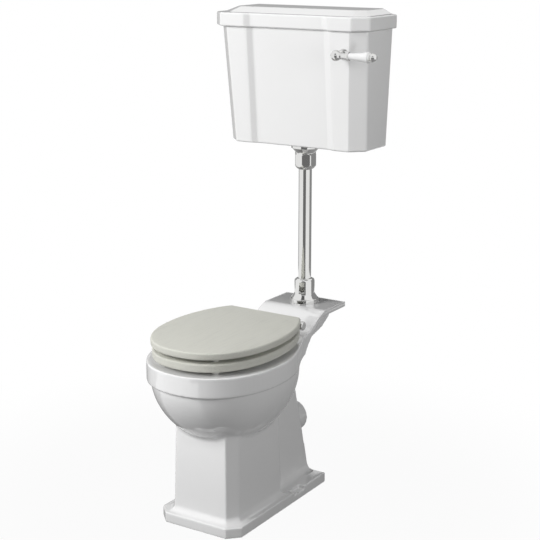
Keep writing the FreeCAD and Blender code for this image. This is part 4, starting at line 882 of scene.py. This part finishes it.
lamps = {
    "keyLamp": {
        "azimuth": -33, "distance": 3.4, "height": 2.2, "aim": 0.6,
        "size": 2, "power": 146, "spread": 180,
    },
    "topLamp": {
        "azimuth": 180, "distance": 0.05, "height": 6, "aim": 0.5,
        "size": 0.6, "power": 60, "spread": 180,
    },
    "sideLamp": {
        "azimuth": 74, "distance": 2.8, "height": 1.4, "aim": 0.4,
        "size": 1.4, "power": 25, "spread": 180,
    },
    "upperLamp": {
        "azimuth": 95, "distance": 1.7, "height": 1.6, "aim": 1.25,
        "size": 0.9, "power": 0.5, "spread": 46,
    },
}
for name, lampShape in lamps.items():
    clearSelection()
    place = placeRound(lampShape["azimuth"], lampShape["distance"], lampShape["height"])
    target = Vector((0, studio["middle"], lampShape["aim"]))
    facing = (target - place).to_track_quat("-Z", "Y").to_euler()
    bpy.ops.object.light_add(type="AREA", location=place, rotation=facing)
    lamp = bpy.context.object
    lamp.name = name
    lamp.data.shape = "SQUARE"
    lamp.data.size = lampShape["size"]
    lamp.data.energy = lampShape["power"]
    lamp.data.spread = math.radians(lampShape["spread"])
    lamp.visible_glossy = False


# Curved screens that only mirror-like surfaces see: they glow at set grey levels, light nothing,
# and paint darker reflections onto the glaze and the chrome. Each spans two azimuths between two
# edges, given as (distance, height), and goes from one brightness to another outwards.
screenSteps = 48
screens = {
    "slimScreen": {
        "from": -5, "to": 50, "start": (1.7, 0.01), "stop": (1.7, 1.5), "levels": (0.18, 0.18),
    },
    "rearScreen": {
        "from": 118, "to": 200, "start": (2.4, 0.01), "stop": (2.4, 2.1), "levels": (0.3, 0.3),
    },
    "shelfScreen": {
        "from": 200, "to": 224, "start": (2.4, 1.04), "stop": (2.4, 1.32), "levels": (0.05, 0.05),
    },
    "lidScreen": {
        "from": 200, "to": 224, "start": (2.4, 1.32), "stop": (2.4, 2.2), "levels": (0.4, 0.4),
    },
    "sideScreen": {
        "from": 224, "to": 262, "start": (2.4, 0.01), "stop": (2.4, 2.1), "levels": (0.4, 0.4),
    },
    "highScreen": {
        "from": -5, "to": 35, "start": (2.3, 2.3), "stop": (2.3, 3.8), "levels": (0.12, 0.12),
    },
    # The three screens at floor height paint the floor's reflection: painted shade, darkest near
    # the object.
    "rightFloorReflection": {
        "from": 8, "to": 222, "start": (0.02, 0.003), "stop": (2, 0.003), "levels": (0.25, 0.4),
    },
    "leftFloorReflection": {
        "from": -138, "to": -60, "start": (0.02, 0.003), "stop": (2, 0.003), "levels": (0.15, 0.45),
    },
    "frontFloorReflection": {
        "from": -60, "to": 8, "start": (0.02, 0.003), "stop": (0.9, 0.003), "levels": (0.1, 0.92),
    },
}
for name, screenShape in screens.items():
    start = placeRound(screenShape["from"], *screenShape["start"])
    stop = placeRound(screenShape["from"], *screenShape["stop"])
    screen = drawWire(name, [start, stop])
    bpy.ops.mesh.select_all(action="SELECT")
    sweep = math.radians(screenShape["to"] - screenShape["from"])
    middle = (0, studio["middle"], 0)
    bpy.ops.mesh.spin(steps=screenSteps, angle=-sweep, center=middle, axis=axes["z"])
    bpy.ops.object.mode_set(mode="OBJECT")
    screenFinish, nodes = newFinish(name)
    share = nodes.add(
        "ShaderNodeMapRange",
        {},
        {"Value": distanceFromOrigin(nodes), "From Max": screenShape["stop"][0]},
    )
    nearLevel, farLevel = screenShape["levels"]
    level = tint(nodes, share, grey(nearLevel), grey(farLevel))
    dim = nodes.add("ShaderNodeEmission", {}, {"Color": level, "Strength": 1.0})
    screen.data.materials.append(close(screenFinish, nodes, dim))
    screen.visible_camera = False
    screen.visible_diffuse = False
    screen.visible_shadow = False
    screen.visible_transmission = False
print("floor, lamps and screens set")

view = {
    "azimuth": 32.62, "elevation": 14.55, "place": (1.9319, -2.888, 1.5766),
    "sensor": 36, "lens": 88.145, "shift": 0.0032,
}
clearSelection()
bpy.ops.object.camera_add(
    location=view["place"],
    rotation=(math.radians(90 - view["elevation"]), 0, math.radians(view["azimuth"])),
)
camera = bpy.context.object
camera.data.sensor_width = view["sensor"]
camera.data.lens = view["lens"]
camera.data.shift_x = view["shift"]
scene.camera = camera
scene.view_settings.view_transform = "Standard"
